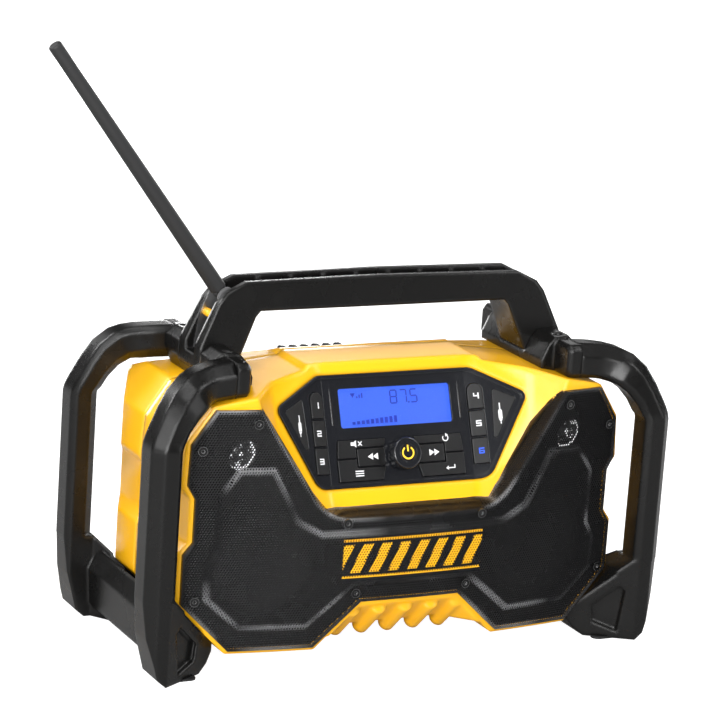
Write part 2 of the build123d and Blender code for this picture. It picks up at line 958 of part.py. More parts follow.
with BuildPart() as control_bezel:
    add(folded_hexagon(0.0, -bezel_wall - seat_gap, 0))
    add(folded_hexagon(bezel_flange_out, -bezel_back, -bezel_wall - seat_gap))
    add(folded_hexagon(0.0, -0.5, bezel_rim_height))
    add(folded_hexagon(-bezel_rim_width, 0, 30), mode=Mode.SUBTRACT)
    # display opening, with a seat for the window behind it
    with BuildSketch(panel):
        with Locations((0, (window_low + window_high) / 2)):
            RectangleRounded(window_half * 2, window_high - window_low, 2.0)
    extrude(amount=20, both=True, mode=Mode.SUBTRACT)
    with BuildSketch(panel.offset(-1.6)):
        with Locations((0, (window_low + window_high) / 2)):
            RectangleRounded(window_half * 2 + 5, window_high - window_low + 5, 2.0)
    extrude(amount=-20, mode=Mode.SUBTRACT)
    # keys
    for name, kind, side, row in keys:
        with BuildSketch(key_place(kind, side, row)):
            add(key_outline(kind, side, row))
            offset(amount=slide_gap, kind=Kind.ARC)
        extrude(amount=20, both=True, mode=Mode.SUBTRACT)
    # encoder bushing
    with BuildSketch(panel):
        with Locations((0, knob_v)):
            Circle(5.0)
    extrude(amount=20, both=True, mode=Mode.SUBTRACT)
    # shallow seats and sockets under the two covers
    for side in (-1, 1):
        wing = wing_plane(side)
        with BuildSketch(wing.offset(-cover_thickness - slide_gap)):
            add(cover_outline(side))
            offset(amount=slide_gap, kind=Kind.ARC)
        extrude(amount=20, mode=Mode.SUBTRACT)
        with BuildSketch(wing):
            with Locations((side * jack_lx, jack_v)):
                Circle(4.0 + bore_gap)
        extrude(amount=20, both=True, mode=Mode.SUBTRACT)
finish(control_bezel.part, "control_bezel")

for side, name in ((-1, "left"), (1, "right")):
    wing = wing_plane(side)
    with BuildPart() as cover:
        with BuildSketch(wing.offset(-cover_thickness)):
            add(cover_outline(side))
        extrude(amount=cover_thickness)
    finish(cover.part, "aux_cover_" + name)
    with BuildPart() as jack:
        with BuildSketch(wing.offset(-cover_thickness - slide_gap - 0.2)):
            with Locations((side * jack_lx, jack_v)):
                Circle(4.0)
                Circle(jack_bore_d / 2, mode=Mode.SUBTRACT)
        extrude(amount=-11.0)
        with BuildSketch(wing.offset(-cover_thickness - slide_gap - 11.2)):
            with Locations((side * jack_lx, jack_v)):
                Rectangle(10.0, 12.0)
        extrude(amount=-2.0)
    finish(jack.part, "aux_jack_" + name)

with BuildPart() as display_window:
    with BuildSketch(panel.offset(-1.6 - seat_gap)):
        with Locations((0, (window_low + window_high) / 2)):
            RectangleRounded(window_half * 2 + 4.6, window_high - window_low + 4.6, 1.8)
    extrude(amount=-1.5)
finish(display_window.part, "display_window")

module_front = 1.6 + seat_gap + 1.5 + seat_gap
module_depth = 5.0
board_front = module_front + module_depth + seat_gap
with BuildPart() as lcd_module:
    with BuildSketch(panel.offset(-module_front)):
        with Locations((0, (window_low + window_high) / 2)):
            Rectangle(window_half * 2 + 2.0, window_high - window_low + 3.0)
    extrude(amount=-module_depth)
finish(lcd_module.part, "lcd_module")

with BuildPart() as control_board:
    with BuildSketch(panel.offset(-board_front)):
        with Locations((0, 0)):
            Rectangle(116.0, 74.0)
    extrude(amount=-board_thickness)
    # switches under the flat keys and posts up to the bezel
    with BuildSketch(panel.offset(-board_front)):
        with Locations((-46, -12), (46, -12), (-46, -28), (46, -28), (-26, -18.5), (26, -18.5)):
            Rectangle(5.0, 5.0)
    extrude(amount=board_front - key_depth - button_travel - 0.3)
    with BuildSketch(panel.offset(-board_front)):
        with Locations((-57, -3), (57, -3)):
            Circle(1.6)
    extrude(amount=board_front - bezel_back - seat_gap)
finish(control_board.part, "control_board")

bushing_od = 9.6
bushing_top = 1.2
with BuildPart() as volume_encoder:
    with BuildSketch(panel.offset(-board_front + seat_gap)):
        with Locations((0, knob_v)):
            Rectangle(13.0, 13.0)
    extrude(amount=board_front - bezel_back - 0.4)
    with BuildSketch(panel.offset(-bezel_back - 0.4)):
        with Locations((0, knob_v)):
            Circle(bushing_od / 2)
    extrude(amount=bezel_back + 0.4 + bushing_top)
    with BuildSketch(panel.offset(bushing_top)):
        with Locations((0, knob_v)):
            Circle(shaft_d / 2 + bore_gap)
    extrude(amount=-bushing_top - board_front + 1.5, mode=Mode.SUBTRACT)
finish(volume_encoder.part, "volume_encoder")

scallop_count = 12
power_lift = 0.4
with BuildPart() as volume_knob:
    with BuildSketch(panel.offset(knob_bottom)):
        with Locations((0, knob_v)):
            Circle(knob_radius)
    extrude(amount=knob_top - knob_bottom)
    rim = volume_knob.faces().sort_by(Axis(panel.origin, panel.z_dir))[-1]
    fillet(rim.edges(), radius=1.6)
    with BuildSketch(panel.offset(knob_bottom)):
        with Locations((0, knob_v)):
            with PolarLocations(knob_radius + 2.0, scallop_count):
                Circle(2.7)
    extrude(amount=knob_top - knob_bottom - 3.0, mode=Mode.SUBTRACT)
    # shaft down into the encoder
    with BuildSketch(panel.offset(-board_front + 3.0)):
        with Locations((0, knob_v)):
            Circle(shaft_d / 2)
    extrude(amount=board_front - 3.0 + knob_bottom + 2)
    with BuildSketch(panel.offset(knob_top + 1)):
        with Locations((0, knob_v)):
            Circle(power_d / 2 + slide_gap)
    extrude(amount=-6.0, mode=Mode.SUBTRACT)
    with BuildSketch(panel.offset(knob_top + 1)):
        with Locations((0, knob_v)):
            Circle(shaft_bore_d / 2)
    extrude(amount=-60.0, mode=Mode.SUBTRACT)
finish(volume_knob.part, "volume_knob")

with BuildPart() as power_button:
    with BuildSketch(panel.offset(knob_top - 5.0 + button_travel + 0.3)):
        with Locations((0, knob_v)):
            Circle(power_d / 2)
    extrude(amount=5.0 - button_travel - 0.3 - power_lift)
    with BuildSketch(panel.offset(-board_front + 4.5)):
        with Locations((0, knob_v)):
            Circle(shaft_bore_d / 2 - bore_gap)
    extrude(amount=board_front - 4.5 + knob_top - 3.0)
finish(power_button.part, "power_button")

# ---------------------------------------------------------------- side frames
bar_mid_x = bar_outer_x - bar_width / 2
bar_mid_y = bar_front_y - bar_depth / 2
bend_z = 182.0
bar_low_z = 66.0
bar_round = 9.0              # the two large chamfers of the section
bar_ease = 4.0               # the two small ones


def bar_station(x, y, z, tilt, half_y, half_w):
    """Chamfered section of the front bar; tilt 0 faces +X and 90 faces down."""
    across = Vector(0, -1, 0)
    outward = Vector(sin(radians(tilt)), 0, cos(radians(tilt)))
    place = Plane(origin=(x, -y, z), x_dir=across, z_dir=across.cross(outward))
    big = min(bar_round, half_w * 0.72)
    small = bar_ease
    corners = [
        (half_y - big, half_w), (half_y, half_w - big),
        (half_y, small - half_w), (half_y - small, -half_w),
        (big - half_y, -half_w), (-half_y, big - half_w),
        (-half_y, half_w - small), (small - half_y, half_w),
    ]
    with BuildSketch(place) as section:
        with BuildLine():
            Polyline(*corners, close=True)
        make_face()
    return section.sketch


def body_keepout():
    """Housing outline with the seating gap, cut from what rests on it."""
    with BuildPart() as body:
        with BuildSketch(upright(rear_y + 60)):
            add(shell_profile(-seat_gap))
        extrude(amount=rear_y + 60 - front_center + 60)
    return body.part


keepout = body_keepout()
half_w = bar_width / 2
bar_stations = [
    (joint_x, joint_y, joint_z, 0, joint_half, joint_half),
    (joint_x + 17, joint_y + 3.5, joint_z - 0.8, 0, joint_half, joint_half),
    (bar_outer_x - 38.5, joint_y + 13.5, joint_z - 5.5, 35, joint_half + 0.7, joint_half + 0.4),
    (bar_outer_x - 15.2, bar_mid_y - 2, bend_z + 9.5, 65, bar_depth / 2, half_w - 0.3),
    (bar_mid_x, bar_mid_y, bend_z, 90, bar_depth / 2, half_w),
    (bar_mid_x, bar_mid_y, bar_low_z, 90, bar_depth / 2, half_w),
]
bend_steps = 3               # straight pieces between two stations of a bend


def bent_stations(stations, steps):
    """Stations along a smooth curve through the bends; the last stretch stays straight."""
    spans = [
        sum((b - a) ** 2 for a, b in zip(low[:3], high[:3])) ** 0.5
        for low, high in zip(stations, stations[1:])
    ]
    slopes = [
        [(b - a) / span for a, b in zip(low, high)]
        for low, high, span in zip(stations, stations[1:], spans)
    ]
    tangents = [slopes[0]]
    for index in range(1, len(slopes) - 1):
        before, after = spans[index - 1], spans[index]
        tangents.append([
            (m * after + n * before) / (before + after)
            for m, n in zip(slopes[index - 1], slopes[index])
        ])
    tangents.append(slopes[-1])
    path = []
    for index, span in enumerate(spans[:-1]):
        for step in range(steps):
            t = step / steps
            path.append(tuple(
                (2 * t ** 3 - 3 * t ** 2 + 1) * a + (t ** 3 - 2 * t ** 2 + t) * span * m
                + (3 * t ** 2 - 2 * t ** 3) * b + (t ** 3 - t ** 2) * span * n
                for a, b, m, n in zip(
                    stations[index], stations[index + 1], tangents[index], tangents[index + 1])
            ))
    return path + stations[-2:]


foot_top_inner_x = bar_outer_x - bar_width
foot_profile = [
    (bar_outer_x, bar_low_z + 1),
    (bar_outer_x - 3, 38.0),
    (foot_bottom_outer_x + 6.5, 5.5 + pad_thickness * 0.5),
    (foot_bottom_outer_x, pad_thickness * 0.5),
    (foot_bottom_inner_x, pad_thickness * 0.5),
    (foot_bottom_inner_x - 8, 7.0),
    (foot_inner_x, 15.5),
    (foot_inner_x, bottom_corner_z - (shell_half - foot_inner_x) + 2),
    (foot_top_inner_x, bottom_corner_z + foot_top_inner_x - shell_half + 2),
    (foot_top_inner_x, bar_low_z + 1),
]
foot_slant_in = 32.0         # how far the inner end of the foot steps back
foot_rear_y = bar_depth - bar_front_y
foot_recess_outline = [
    (195.0, 41.0), (190.5, 44.5), (172.0, 26.0), (174.0, 13.0), (191.5, 6.5),
]


def foot_plan(setback=0.0):
    """Top view of the foot: slanted face at the front, set back for the recess."""
    face_y = -bar_front_y + setback
    with BuildSketch() as plan:
        with BuildLine():
            Polyline(
                (bar_outer_x + 5, face_y + bar_round + 5),
                (bar_outer_x - bar_round, face_y),
                (foot_top_inner_x + bar_ease + 1, face_y),
                (foot_inner_x - 5, face_y + foot_slant_in),
                (foot_inner_x - 5, foot_rear_y + 24),
                (foot_inner_x + 26, foot_rear_y + 24),
                (foot_top_inner_x, foot_rear_y),
                (bar_outer_x - bar_ease, foot_rear_y),
                (bar_outer_x + 5, foot_rear_y - bar_ease - 5),
                close=True,
            )
        make_face()
    return plan.sketch


with BuildPart() as foot_recess:
    with BuildSketch(upright(0)):
        with BuildLine():
            Polyline(*foot_recess_outline, close=True)
        make_face()
    extrude(amount=bar_front_y + 10)
    with BuildSketch(Plane.XY):
        add(foot_plan(foot_recess_depth))
    extrude(amount=200, mode=Mode.SUBTRACT)

with BuildPart() as foot:
    with BuildSketch(upright(0)):
        with BuildLine():
            Polyline(*foot_profile, close=True)
        make_face()
    extrude(amount=bar_front_y + 10)
    with BuildSketch(Plane.XY):
        add(foot_plan())
    extrude(amount=200, mode=Mode.INTERSECT)
    add(foot_recess.part, mode=Mode.SUBTRACT)

with BuildPart() as quarter_frame:
    stations = bent_stations(bar_stations, bend_steps)
    for low, high in zip(stations, stations[1:]):
        loft([bar_station(*low), bar_station(*high)], ruled=True)
    add(foot.part)

cross_profile = [
    (foot_inner_x + 4, 20.0),
    (foot_inner_x + 4, 12.0),
    (foot_bottom_inner_x, 4.0),
    (foot_bottom_outer_x - 12, 4.0),
    (foot_bottom_outer_x - 4, 12.0),
    (foot_bottom_outer_x - 2, 40.0),
    (foot_top_inner_x - 4, bottom_corner_z + 2),
]
cross_half = bar_front_y - bar_depth + 2.0
pad_places = [(185.0, 83.0), (185.0, -83.0)]

with BuildPart() as right_side_frame:
    add(quarter_frame.part)
    mirror(quarter_frame.part, about=Plane.XZ)
    with BuildSketch(upright(cross_half)):
        with BuildLine():
            Polyline(*cross_profile, close=True)
        make_face()
    extrude(amount=cross_half * 2)
    add(keepout, mode=Mode.SUBTRACT)
    # shallow seats for the rubber pads
    with BuildSketch(Plane.XY):
        with Locations(*pad_places):
            SlotOverall(24.0, 11.0)
    extrude(amount=pad_thickness, mode=Mode.SUBTRACT)
finish(right_side_frame.part, "right_side_frame")

left_frame = mirror(right_side_frame.part, about=Plane.YZ)
finish(left_frame, "left_side_frame")

with BuildPart() as foot_pads:
    with BuildSketch(Plane.XY):
        with Locations(*pad_places, *[(-x, y) for x, y in pad_places]):
            SlotOverall(24.0 - 2 * seat_gap, 11.0 - 2 * seat_gap)
    extrude(amount=pad_thickness - seat_gap)
finish(foot_pads.part, "foot_pads")

# --------------------------------------------------------------------- handle
handle_flare = 5.0           # how much deeper the legs are at their foot
handle_outer = mirrored([
    (0, handle_top),
    (handle_top_half, handle_top - 1.5),
    (handle_top_half + 16.3, handle_top - 9.3),
    (handle_top_half + 23.1, handle_top - 17.5),
    (handle_leg_outer - 1.5, handle_top - 49.5),
    (handle_leg_outer - 1.5, handle_leg_z),
    (handle_leg_inner, handle_leg_z),
    (handle_window_half, handle_under - 4.5),
    (handle_window_half - 4, handle_under),
    (0, handle_under),
])
channel_floor_z = 233.0
channel_profile = mirrored([
    (0, handle_top + 30),
    (240, handle_top + 30),
    (240, channel_floor_z),
    (handle_leg_inner + handle_web - 2.0, channel_floor_z),
    (handle_window_half + handle_web + 0.6, handle_under - 3.0),
    (handle_window_half - 3, handle_under + handle_web),
    (0, handle_under + handle_web),
])


def handle_core(grow=0.0):
    """Handle without its channel."""
    foot_half = handle_half_depth + handle_flare + grow
    with BuildPart() as body:
        with BuildSketch(upright(40)):
            with BuildLine():
                Polyline(*handle_outer, close=True)
            make_face()
            if grow:
                offset(amount=grow, kind=Kind.INTERSECTION)
        extrude(amount=80)
        with BuildSketch(Plane.YZ):
            with BuildLine():
                Polyline(
                    (-handle_half_depth - grow, handle_top + 1),
                    (handle_half_depth + grow, handle_top + 1),
                    (foot_half, channel_floor_z + 4),
                    (foot_half, handle_leg_z - 1),
                    (-foot_half, handle_leg_z - 1),
                    (-foot_half, channel_floor_z + 4),
                    close=True,
                )
            make_face()
        extrude(amount=200, both=True, mode=Mode.INTERSECT)
    return body.part


stow_clear = antenna_base_d / 2 + 0.9
with BuildPart() as top_handle:
    add(handle_core())
    with BuildSketch(upright(channel_half)):
        with BuildLine():
            Polyline(*channel_profile, close=True)
        make_face()
    extrude(amount=channel_half * 2, mode=Mode.SUBTRACT)
    for index in range(handle_rib_count):
        rib_x = (index - (handle_rib_count - 1) / 2) * handle_rib_pitch
        with BuildSketch(Plane(origin=(rib_x - handle_rib / 2, 0, 0), x_dir=(0, 1, 0), z_dir=(1, 0, 0))):
            with Locations((0, (handle_under + handle_top - 3.5) / 2 + 1)):
                Rectangle(channel_half * 2 + 1, handle_top - 3.5 - handle_under)
            with Locations((0, pivot_z)):
                Circle(stow_clear, mode=Mode.SUBTRACT)
            with Locations((0, pivot_z + 12)):
                Rectangle(stow_clear * 2, 24, mode=Mode.SUBTRACT)
        extrude(amount=handle_rib)
    add(keepout, mode=Mode.SUBTRACT)
finish(top_handle.part, "top_handle")

# ----------------------------------------------------------------------- hubs
hub_profile = [
    (hub_inner_x, 242.0),
    (hub_outer_x - 7, 243.0),
    (hub_outer_x, 236.5),
    (hub_outer_x, 225.5),
    (hub_outer_x - 8, 205.0),
    (hub_inner_x - 10.0, 205.0),
    (hub_inner_x - 11.0, 224.0),
    (hub_inner_x - 5.5, 236.0),
]
hub_half = 50.0
hub_screw_head_d = 7.4
hub_screw_d = 4.0
hub_seat_z = 236.0           # floor of the counterbores
hub_head_height = 3.2
hub_screw_length = 19.0

with BuildPart() as socket:
    with BuildSketch(Plane(origin=(hub_inner_x, 0, 0), x_dir=(0, 1, 0), z_dir=(1, 0, 0))):
        with Locations((joint_y, joint_z)):
            Rectangle(joint_half * 2, joint_half * 2)
    extrude(amount=joint_x - seat_gap - hub_inner_x)
    chamfer(socket.edges().filter_by(Axis.X), length=bar_ease)
    chamfer(socket.faces().sort_by(Axis.X)[0].edges(), length=3.0)

with BuildPart() as right_hub:
    with BuildSketch(upright(hub_half)):
        with BuildLine():
            Polyline(*hub_profile, close=True)
        make_face()
    extrude(amount=hub_half * 2)
    add(socket.part)
    mirror(socket.part, about=Plane.XZ)
    # pocket for the handle leg
    add(handle_core(seat_gap), mode=Mode.SUBTRACT)
    add(keepout, mode=Mode.SUBTRACT)
    # keep the bar ends out of the middle piece
    for sign in (-1, 1):
        with BuildSketch(Plane(origin=(joint_x - seat_gap, 0, 0), x_dir=(0, 1, 0), z_dir=(1, 0, 0))):
            with Locations((sign * (joint_y + 4), joint_z)):
                Rectangle(joint_half * 2 + 9, 60)
        extrude(amount=30, mode=Mode.SUBTRACT)
    with BuildSketch(Plane.XY.offset(hub_seat_z)):
        with Locations((hub_screw_x, hub_screw_y), (hub_screw_x, -hub_screw_y)):
            Circle(hub_screw_head_d / 2 + bore_gap)
    extrude(amount=14, mode=Mode.SUBTRACT)
    with BuildSketch(Plane.XY.offset(hub_seat_z + 1)):
        with Locations((hub_screw_x, hub_screw_y), (hub_screw_x, -hub_screw_y)):
            Circle(hub_screw_d / 2 + bore_gap)
    extrude(amount=-hub_screw_length - 2, mode=Mode.SUBTRACT)
finish(right_hub.part, "right_hub")
finish(mirror(right_hub.part, about=Plane.YZ), "left_hub")

with BuildPart() as hub_screws:
    for x in (-hub_screw_x, hub_screw_x):
        for y in (-hub_screw_y, hub_screw_y):
            with BuildSketch(Plane.XY.offset(hub_seat_z + hub_head_height)):
                with Locations((x, y)):
                    Circle(hub_screw_head_d / 2)
                    RegularPolygon(1.9, 6, mode=Mode.SUBTRACT)
            extrude(amount=-hub_head_height)
            with BuildSketch(Plane.XY.offset(hub_seat_z)):
                with Locations((x, y)):
                    Circle(hub_screw_d / 2)
            extrude(amount=-hub_screw_length)
finish(hub_screws.part, "hub_screws")

# -------------------------------------------------------------------- antenna
bracket_sheet = 1.2
bracket_outer = channel_half - seat_gap
bracket_inner = bracket_outer - bracket_sheet
ear_radius = 7.5
lean_a = radians(antenna_lean)
antenna_dir = Vector(-sin(lean_a), 0, cos(lean_a))
pivot = Vector(pivot_x, 0, pivot_z)
stem_d = 6.0
stem_sink = 12.0
bridge_z = pivot_z - 13.9
ear = [
    (pivot_x - ear_radius, pivot_z),
    (pivot_x + ear_radius, pivot_z),
    (pivot_x + ear_radius, bridge_z - bracket_sheet / 2),
    (pivot_x - 4.0, bridge_z - bracket_sheet / 2),
]
tongue = [
    (pivot_x - ear_radius, pivot_z),
    (pivot_x + ear_radius, pivot_z),
    (pivot_x + ear_radius, bridge_z - bracket_sheet / 2),
    (pivot_x - 2.7, pivot_z - 18.5),
    (pivot_x - 9.7, pivot_z - 42.5),
    (pivot_x - 17.7, pivot_z - 42.5),
    (pivot_x - 13.7, pivot_z - 14.5),
]

with BuildPart() as antenna_bracket:
    # two ears, a bridge between them, and a tongue down the rear ear
    for start, outline in ((bracket_outer, tongue), (-bracket_inner, ear)):
        with BuildSketch(upright(start)):
            with BuildLine():
                Polyline(*outline, close=True)
            make_face()
            with Locations((pivot_x, pivot_z)):
                Circle(ear_radius)
                Circle(pivot_pin_d / 2 + bore_gap, mode=Mode.SUBTRACT)
        extrude(amount=bracket_sheet)
    with BuildSketch(upright(bracket_outer)):
        with Locations((pivot_x + 1.8, bridge_z)):
            Rectangle(11.0, bracket_sheet)
    extrude(amount=bracket_outer * 2)
finish(antenna_bracket.part, "antenna_bracket")

with BuildPart() as antenna_pin:
    with BuildSketch(upright(bracket_outer - 0.1)):
        with Locations((pivot_x, pivot_z)):
            Circle(pivot_pin_d / 2)
    extrude(amount=(bracket_outer - 0.1) * 2)
finish(antenna_pin.part, "antenna_pin")

knuckle_half = bracket_inner - 0.2
with BuildPart() as antenna_knuckle:
    with BuildSketch(upright(knuckle_half)):
        with Locations((pivot_x, pivot_z)):
            Circle(knuckle_d / 2)
    extrude(amount=knuckle_half * 2)
    with BuildSketch(Plane(origin=pivot, x_dir=(0, 1, 0), z_dir=antenna_dir)):
        Circle(stem_d / 2)
    extrude(amount=antenna_base_gap + stem_sink)
    with BuildSketch(upright(knuckle_half + 1)):
        with Locations((pivot_x, pivot_z)):
            Circle(pivot_pin_d / 2 + bore_gap)
    extrude(amount=knuckle_half * 2 + 2, mode=Mode.SUBTRACT)
finish(antenna_knuckle.part, "antenna_knuckle")

whip_length = antenna_length - antenna_cap_length
whip_tip_d = antenna_tip_d + (antenna_base_d - antenna_tip_d) * antenna_cap_length / antenna_length
whip_start = Plane(
    origin=pivot + antenna_dir * antenna_base_gap,
    x_dir=(0, 1, 0),
    z_dir=antenna_dir,
)
with BuildPart(whip_start) as antenna_whip:
    Cone(
        antenna_base_d / 2, whip_tip_d / 2, whip_length,
        align=(Align.CENTER, Align.CENTER, Align.MIN),
    )
    Cylinder(
        stem_d / 2 + bore_gap, stem_sink + 0.2,
        align=(Align.CENTER, Align.CENTER, Align.MIN), mode=Mode.SUBTRACT,
    )
finish(antenna_whip.part, "antenna_whip")

with BuildPart(whip_start.offset(whip_length + seat_gap)) as antenna_cap:
    Cone(
        whip_tip_d / 2, antenna_tip_d / 2, antenna_cap_length - seat_gap,
        align=(Align.CENTER, Align.CENTER, Align.MIN),
    )
    tip = antenna_cap.faces().sort_by(Axis(pivot, antenna_dir))[-1]
    fillet(tip.edges(), radius=1.8)
finish(antenna_cap.part, "antenna_cap")

stop_x = pivot_x - 9.2
stop_z = pivot_z - 14.5
stop_length = 10.7
with BuildPart() as antenna_stop:
    with BuildSketch(upright(bracket_inner - seat_gap)):
        with Locations((stop_x, stop_z)):
            Circle(3.3)
    extrude(amount=stop_length)
    fillet(antenna_stop.faces().sort_by(Axis.Y)[0].edges(), radius=1.5)
finish(antenna_stop.part, "antenna_stop")

# ---------------------------------------------------------------- battery bay
bay_flange = 4.0
bay_flange_thickness = 2.0
bay_height = bay_high - bay_low
standoff_length = 5.0
standoff_places = [
    (door_x - 36, bay_low + 8), (door_x + 36, bay_low + 8),
    (door_x - 36, bay_high - 8), (door_x + 36, bay_high - 8),
]

with BuildPart() as battery_bay:
    with BuildSketch(upright(bay_back_y)):
        with Locations((door_x, bay_mid_z)):
            Rectangle(
                (bay_half + bay_wall + bay_flange) * 2,
                bay_height + (bay_wall + bay_flange) * 2,
            )
    extrude(amount=bay_flange_thickness)
    with BuildSketch(upright(bay_back_y)):
        with Locations((door_x, bay_mid_z)):
            Rectangle((bay_half + bay_wall) * 2, bay_height + bay_wall * 2)
    extrude(amount=bay_depth + bay_wall)
    with BuildSketch(upright(bay_back_y)):
        with Locations((door_x, bay_mid_z)):
            Rectangle(bay_half * 2, bay_height)
    extrude(amount=bay_depth, mode=Mode.SUBTRACT)
    with BuildSketch(upright(bay_front_y - bay_wall)):
        with Locations(*standoff_places):
            Circle(3.0)
    extrude(amount=standoff_length)
finish(battery_bay.part, "battery_bay")

terminal_z = bay_low + 16.0
terminal_depth = 12.0
blade_length = 9.0
terminal_width = 34.0
terminal_height = 20.0
with BuildPart() as battery_terminals:
    with BuildSketch(upright(bay_front_y + seat_gap)):
        with Locations((door_x, terminal_z)):
            Rectangle(terminal_width, terminal_height)
    extrude(amount=-terminal_depth)
    with BuildSketch(upright(bay_front_y + seat_gap + terminal_depth)):
        with Locations((door_x, terminal_z)):
            with GridLocations(11.0, 1.0, 3, 1):
                Rectangle(1.0, 8.0)
    extrude(amount=-blade_length)
finish(battery_terminals.part, "battery_terminals")

board_width = bay_half * 2 + 22.0
board_height = 90.0
capacitor_d = 12.0
sink_width = 44.0            # heat sink of the amplifier
board_back_y = bay_front_y - bay_wall - standoff_length - seat_gap
with BuildPart() as main_board:
    with BuildSketch(upright(board_back_y)):
        with Locations((door_x, bay_mid_z)):
            Rectangle(board_width, board_height)
    extrude(amount=board_thickness)
    board_face_y = board_back_y - board_thickness
    with BuildSketch(upright(board_face_y)):
        with Locations((door_x - 34, bay_mid_z + 28), (door_x - 34, bay_mid_z + 12)):
            Circle(capacitor_d / 2)
    extrude(amount=14.0)
    with BuildSketch(upright(board_face_y)):
        with Locations((door_x + 22, bay_mid_z + 22)):
            Rectangle(sink_width, capacitor_d)
    extrude(amount=16.0)
    with BuildSketch(upright(board_face_y)):
        with Locations((door_x - 4, bay_mid_z - 8), (door_x + 30, bay_mid_z - 18)):
            Rectangle(14.0, 14.0)
    extrude(amount=2.0)
finish(main_board.part, "main_board")

with BuildPart() as power_supply:
    with BuildSketch(upright(supply_back_y)):
        with Locations((supply_x, supply_z)):
            Rectangle(supply_width, supply_height)
    extrude(amount=board_thickness)
    supply_face_y = supply_back_y - board_thickness
    with BuildSketch(upright(supply_face_y)):
        with Locations((supply_x - 4, supply_z + 8)):
            Rectangle(supply_width * 0.6, supply_height * 0.46)
    extrude(amount=26.0)
    with BuildSketch(upright(supply_face_y)):
        with Locations((supply_x + 2, supply_z - 20)):
            with GridLocations(16.0, 1.0, 3, 1):
                Circle(5.0)
    extrude(amount=18.0)
finish(power_supply.part, "power_supply")

# ----------------------------------------------------------------- battery door
door_face_y = rear_y + slide_gap
door_back_y = door_face_y + door_thickness
notch_half = (lug_length + slide_gap * 2) / 2
rail_low = 160.0
rail_high = 187.0
rail_width = 3.5
flange_thickness = 2.2
latch_lip = 4.0              # how far the rails reach over the latch
latch_slim = 4.4             # height of the latch between the rails


def door_box(half, low, high, near, far):
    """Box on the rear wall, placed by its half width, heights and depths."""
    with BuildPart() as body:
        with BuildSketch(upright(far)):
            with Locations((door_x, (low + high) / 2)):
                Rectangle(half * 2, high - low)
        extrude(amount=far - near)
    return body.part


with BuildPart() as battery_door:
    with BuildSketch(upright(door_back_y)):
        with Locations((door_x, door_mid_z)):
            RectangleRounded(door_half * 2, door_high - door_low, 6.0)
    extrude(amount=door_thickness)
    chamfer(battery_door.faces().sort_by(Axis.Y)[-1].edges(), length=1.2)
    # raised field with two finger grooves
    with BuildSketch(upright(door_back_y + 1.2)):
        with Locations((door_x, bay_mid_z - 12)):
            RectangleRounded(door_half * 2 - 20, 56.0, 5.0)
    extrude(amount=1.4)
    # notches for the housing lugs
    with BuildSketch(upright(door_back_y + 1)):
        for side in (-1, 1):
            with Locations((door_x + side * (lug_inner + lug_length / 2), hinge_z)):
                Rectangle(notch_half * 2, hinge_barrel_d + 4.0)
    extrude(amount=door_thickness + 2, mode=Mode.SUBTRACT)
    # barrel
    with BuildSketch(Plane(origin=(door_x - barrel_half, 0, 0), x_dir=(0, 1, 0), z_dir=(1, 0, 0))):
        with Locations((hinge_y, hinge_z)):
            Circle(hinge_barrel_d / 2)
    extrude(amount=barrel_half * 2)
    with BuildSketch(Plane(origin=(door_x - door_half, 0, 0), x_dir=(0, 1, 0), z_dir=(1, 0, 0))):
        with Locations((hinge_y, hinge_z)):
            Circle(hinge_pin_d / 2 + bore_gap)
    extrude(amount=door_half * 2, mode=Mode.SUBTRACT)
    # guide rails of the latch
    rail_top_y = door_back_y + seat_gap + latch_slim
    add(door_box(latch_half + slide_gap + rail_width, rail_low, rail_high, door_back_y - 0.5, rail_top_y))
    add(
        door_box(latch_half + slide_gap, rail_low, rail_high + 1, door_back_y, door_back_y
                 + flange_thickness + seat_gap + slide_gap),
        mode=Mode.SUBTRACT,
    )
    add(
        door_box(latch_half - latch_lip + slide_gap, rail_low - 1, rail_high + 1, door_back_y, rail_top_y + 1),
        mode=Mode.SUBTRACT,
    )
finish(battery_door.part, "battery_door")

pin_half = lug_inner + lug_length - 1.0
with BuildPart() as door_hinge_pin:
    with BuildSketch(Plane(origin=(door_x - pin_half, 0, 0), x_dir=(0, 1, 0), z_dir=(1, 0, 0))):
        with Locations((hinge_y, hinge_z)):
            Circle(hinge_pin_d / 2)
    extrude(amount=pin_half * 2)
finish(door_hinge_pin.part, "door_hinge_pin")

latch_face_y = door_back_y + seat_gap
latch_foot_z = rail_low + 6.0
latch_travel = 4.0
rib_count = 6
with BuildPart() as door_latch:
    add(door_box(latch_half, latch_foot_z, latch_low + 1, latch_face_y, latch_face_y + flange_thickness))
    add(door_box(latch_half - latch_lip, latch_foot_z, latch_low + 1, latch_face_y, latch_face_y + latch_slim))
    add(door_box(latch_half, latch_low, latch_top - 2.5, latch_face_y, latch_face_y + latch_depth - 2))
    chamfer(door_latch.faces().sort_by(Axis.Y)[-1].edges(), length=2.0)
    with BuildSketch(upright(latch_face_y + latch_depth - 3.5)):
        with Locations((door_x, latch_top - 3.0)):
            with GridLocations(latch_half * 2 / rib_count, 1.0, rib_count, 1):
                SlotOverall(7.5, 6.0)
    extrude(amount=latch_depth - 5.5)
finish(door_latch.part, "door_latch")

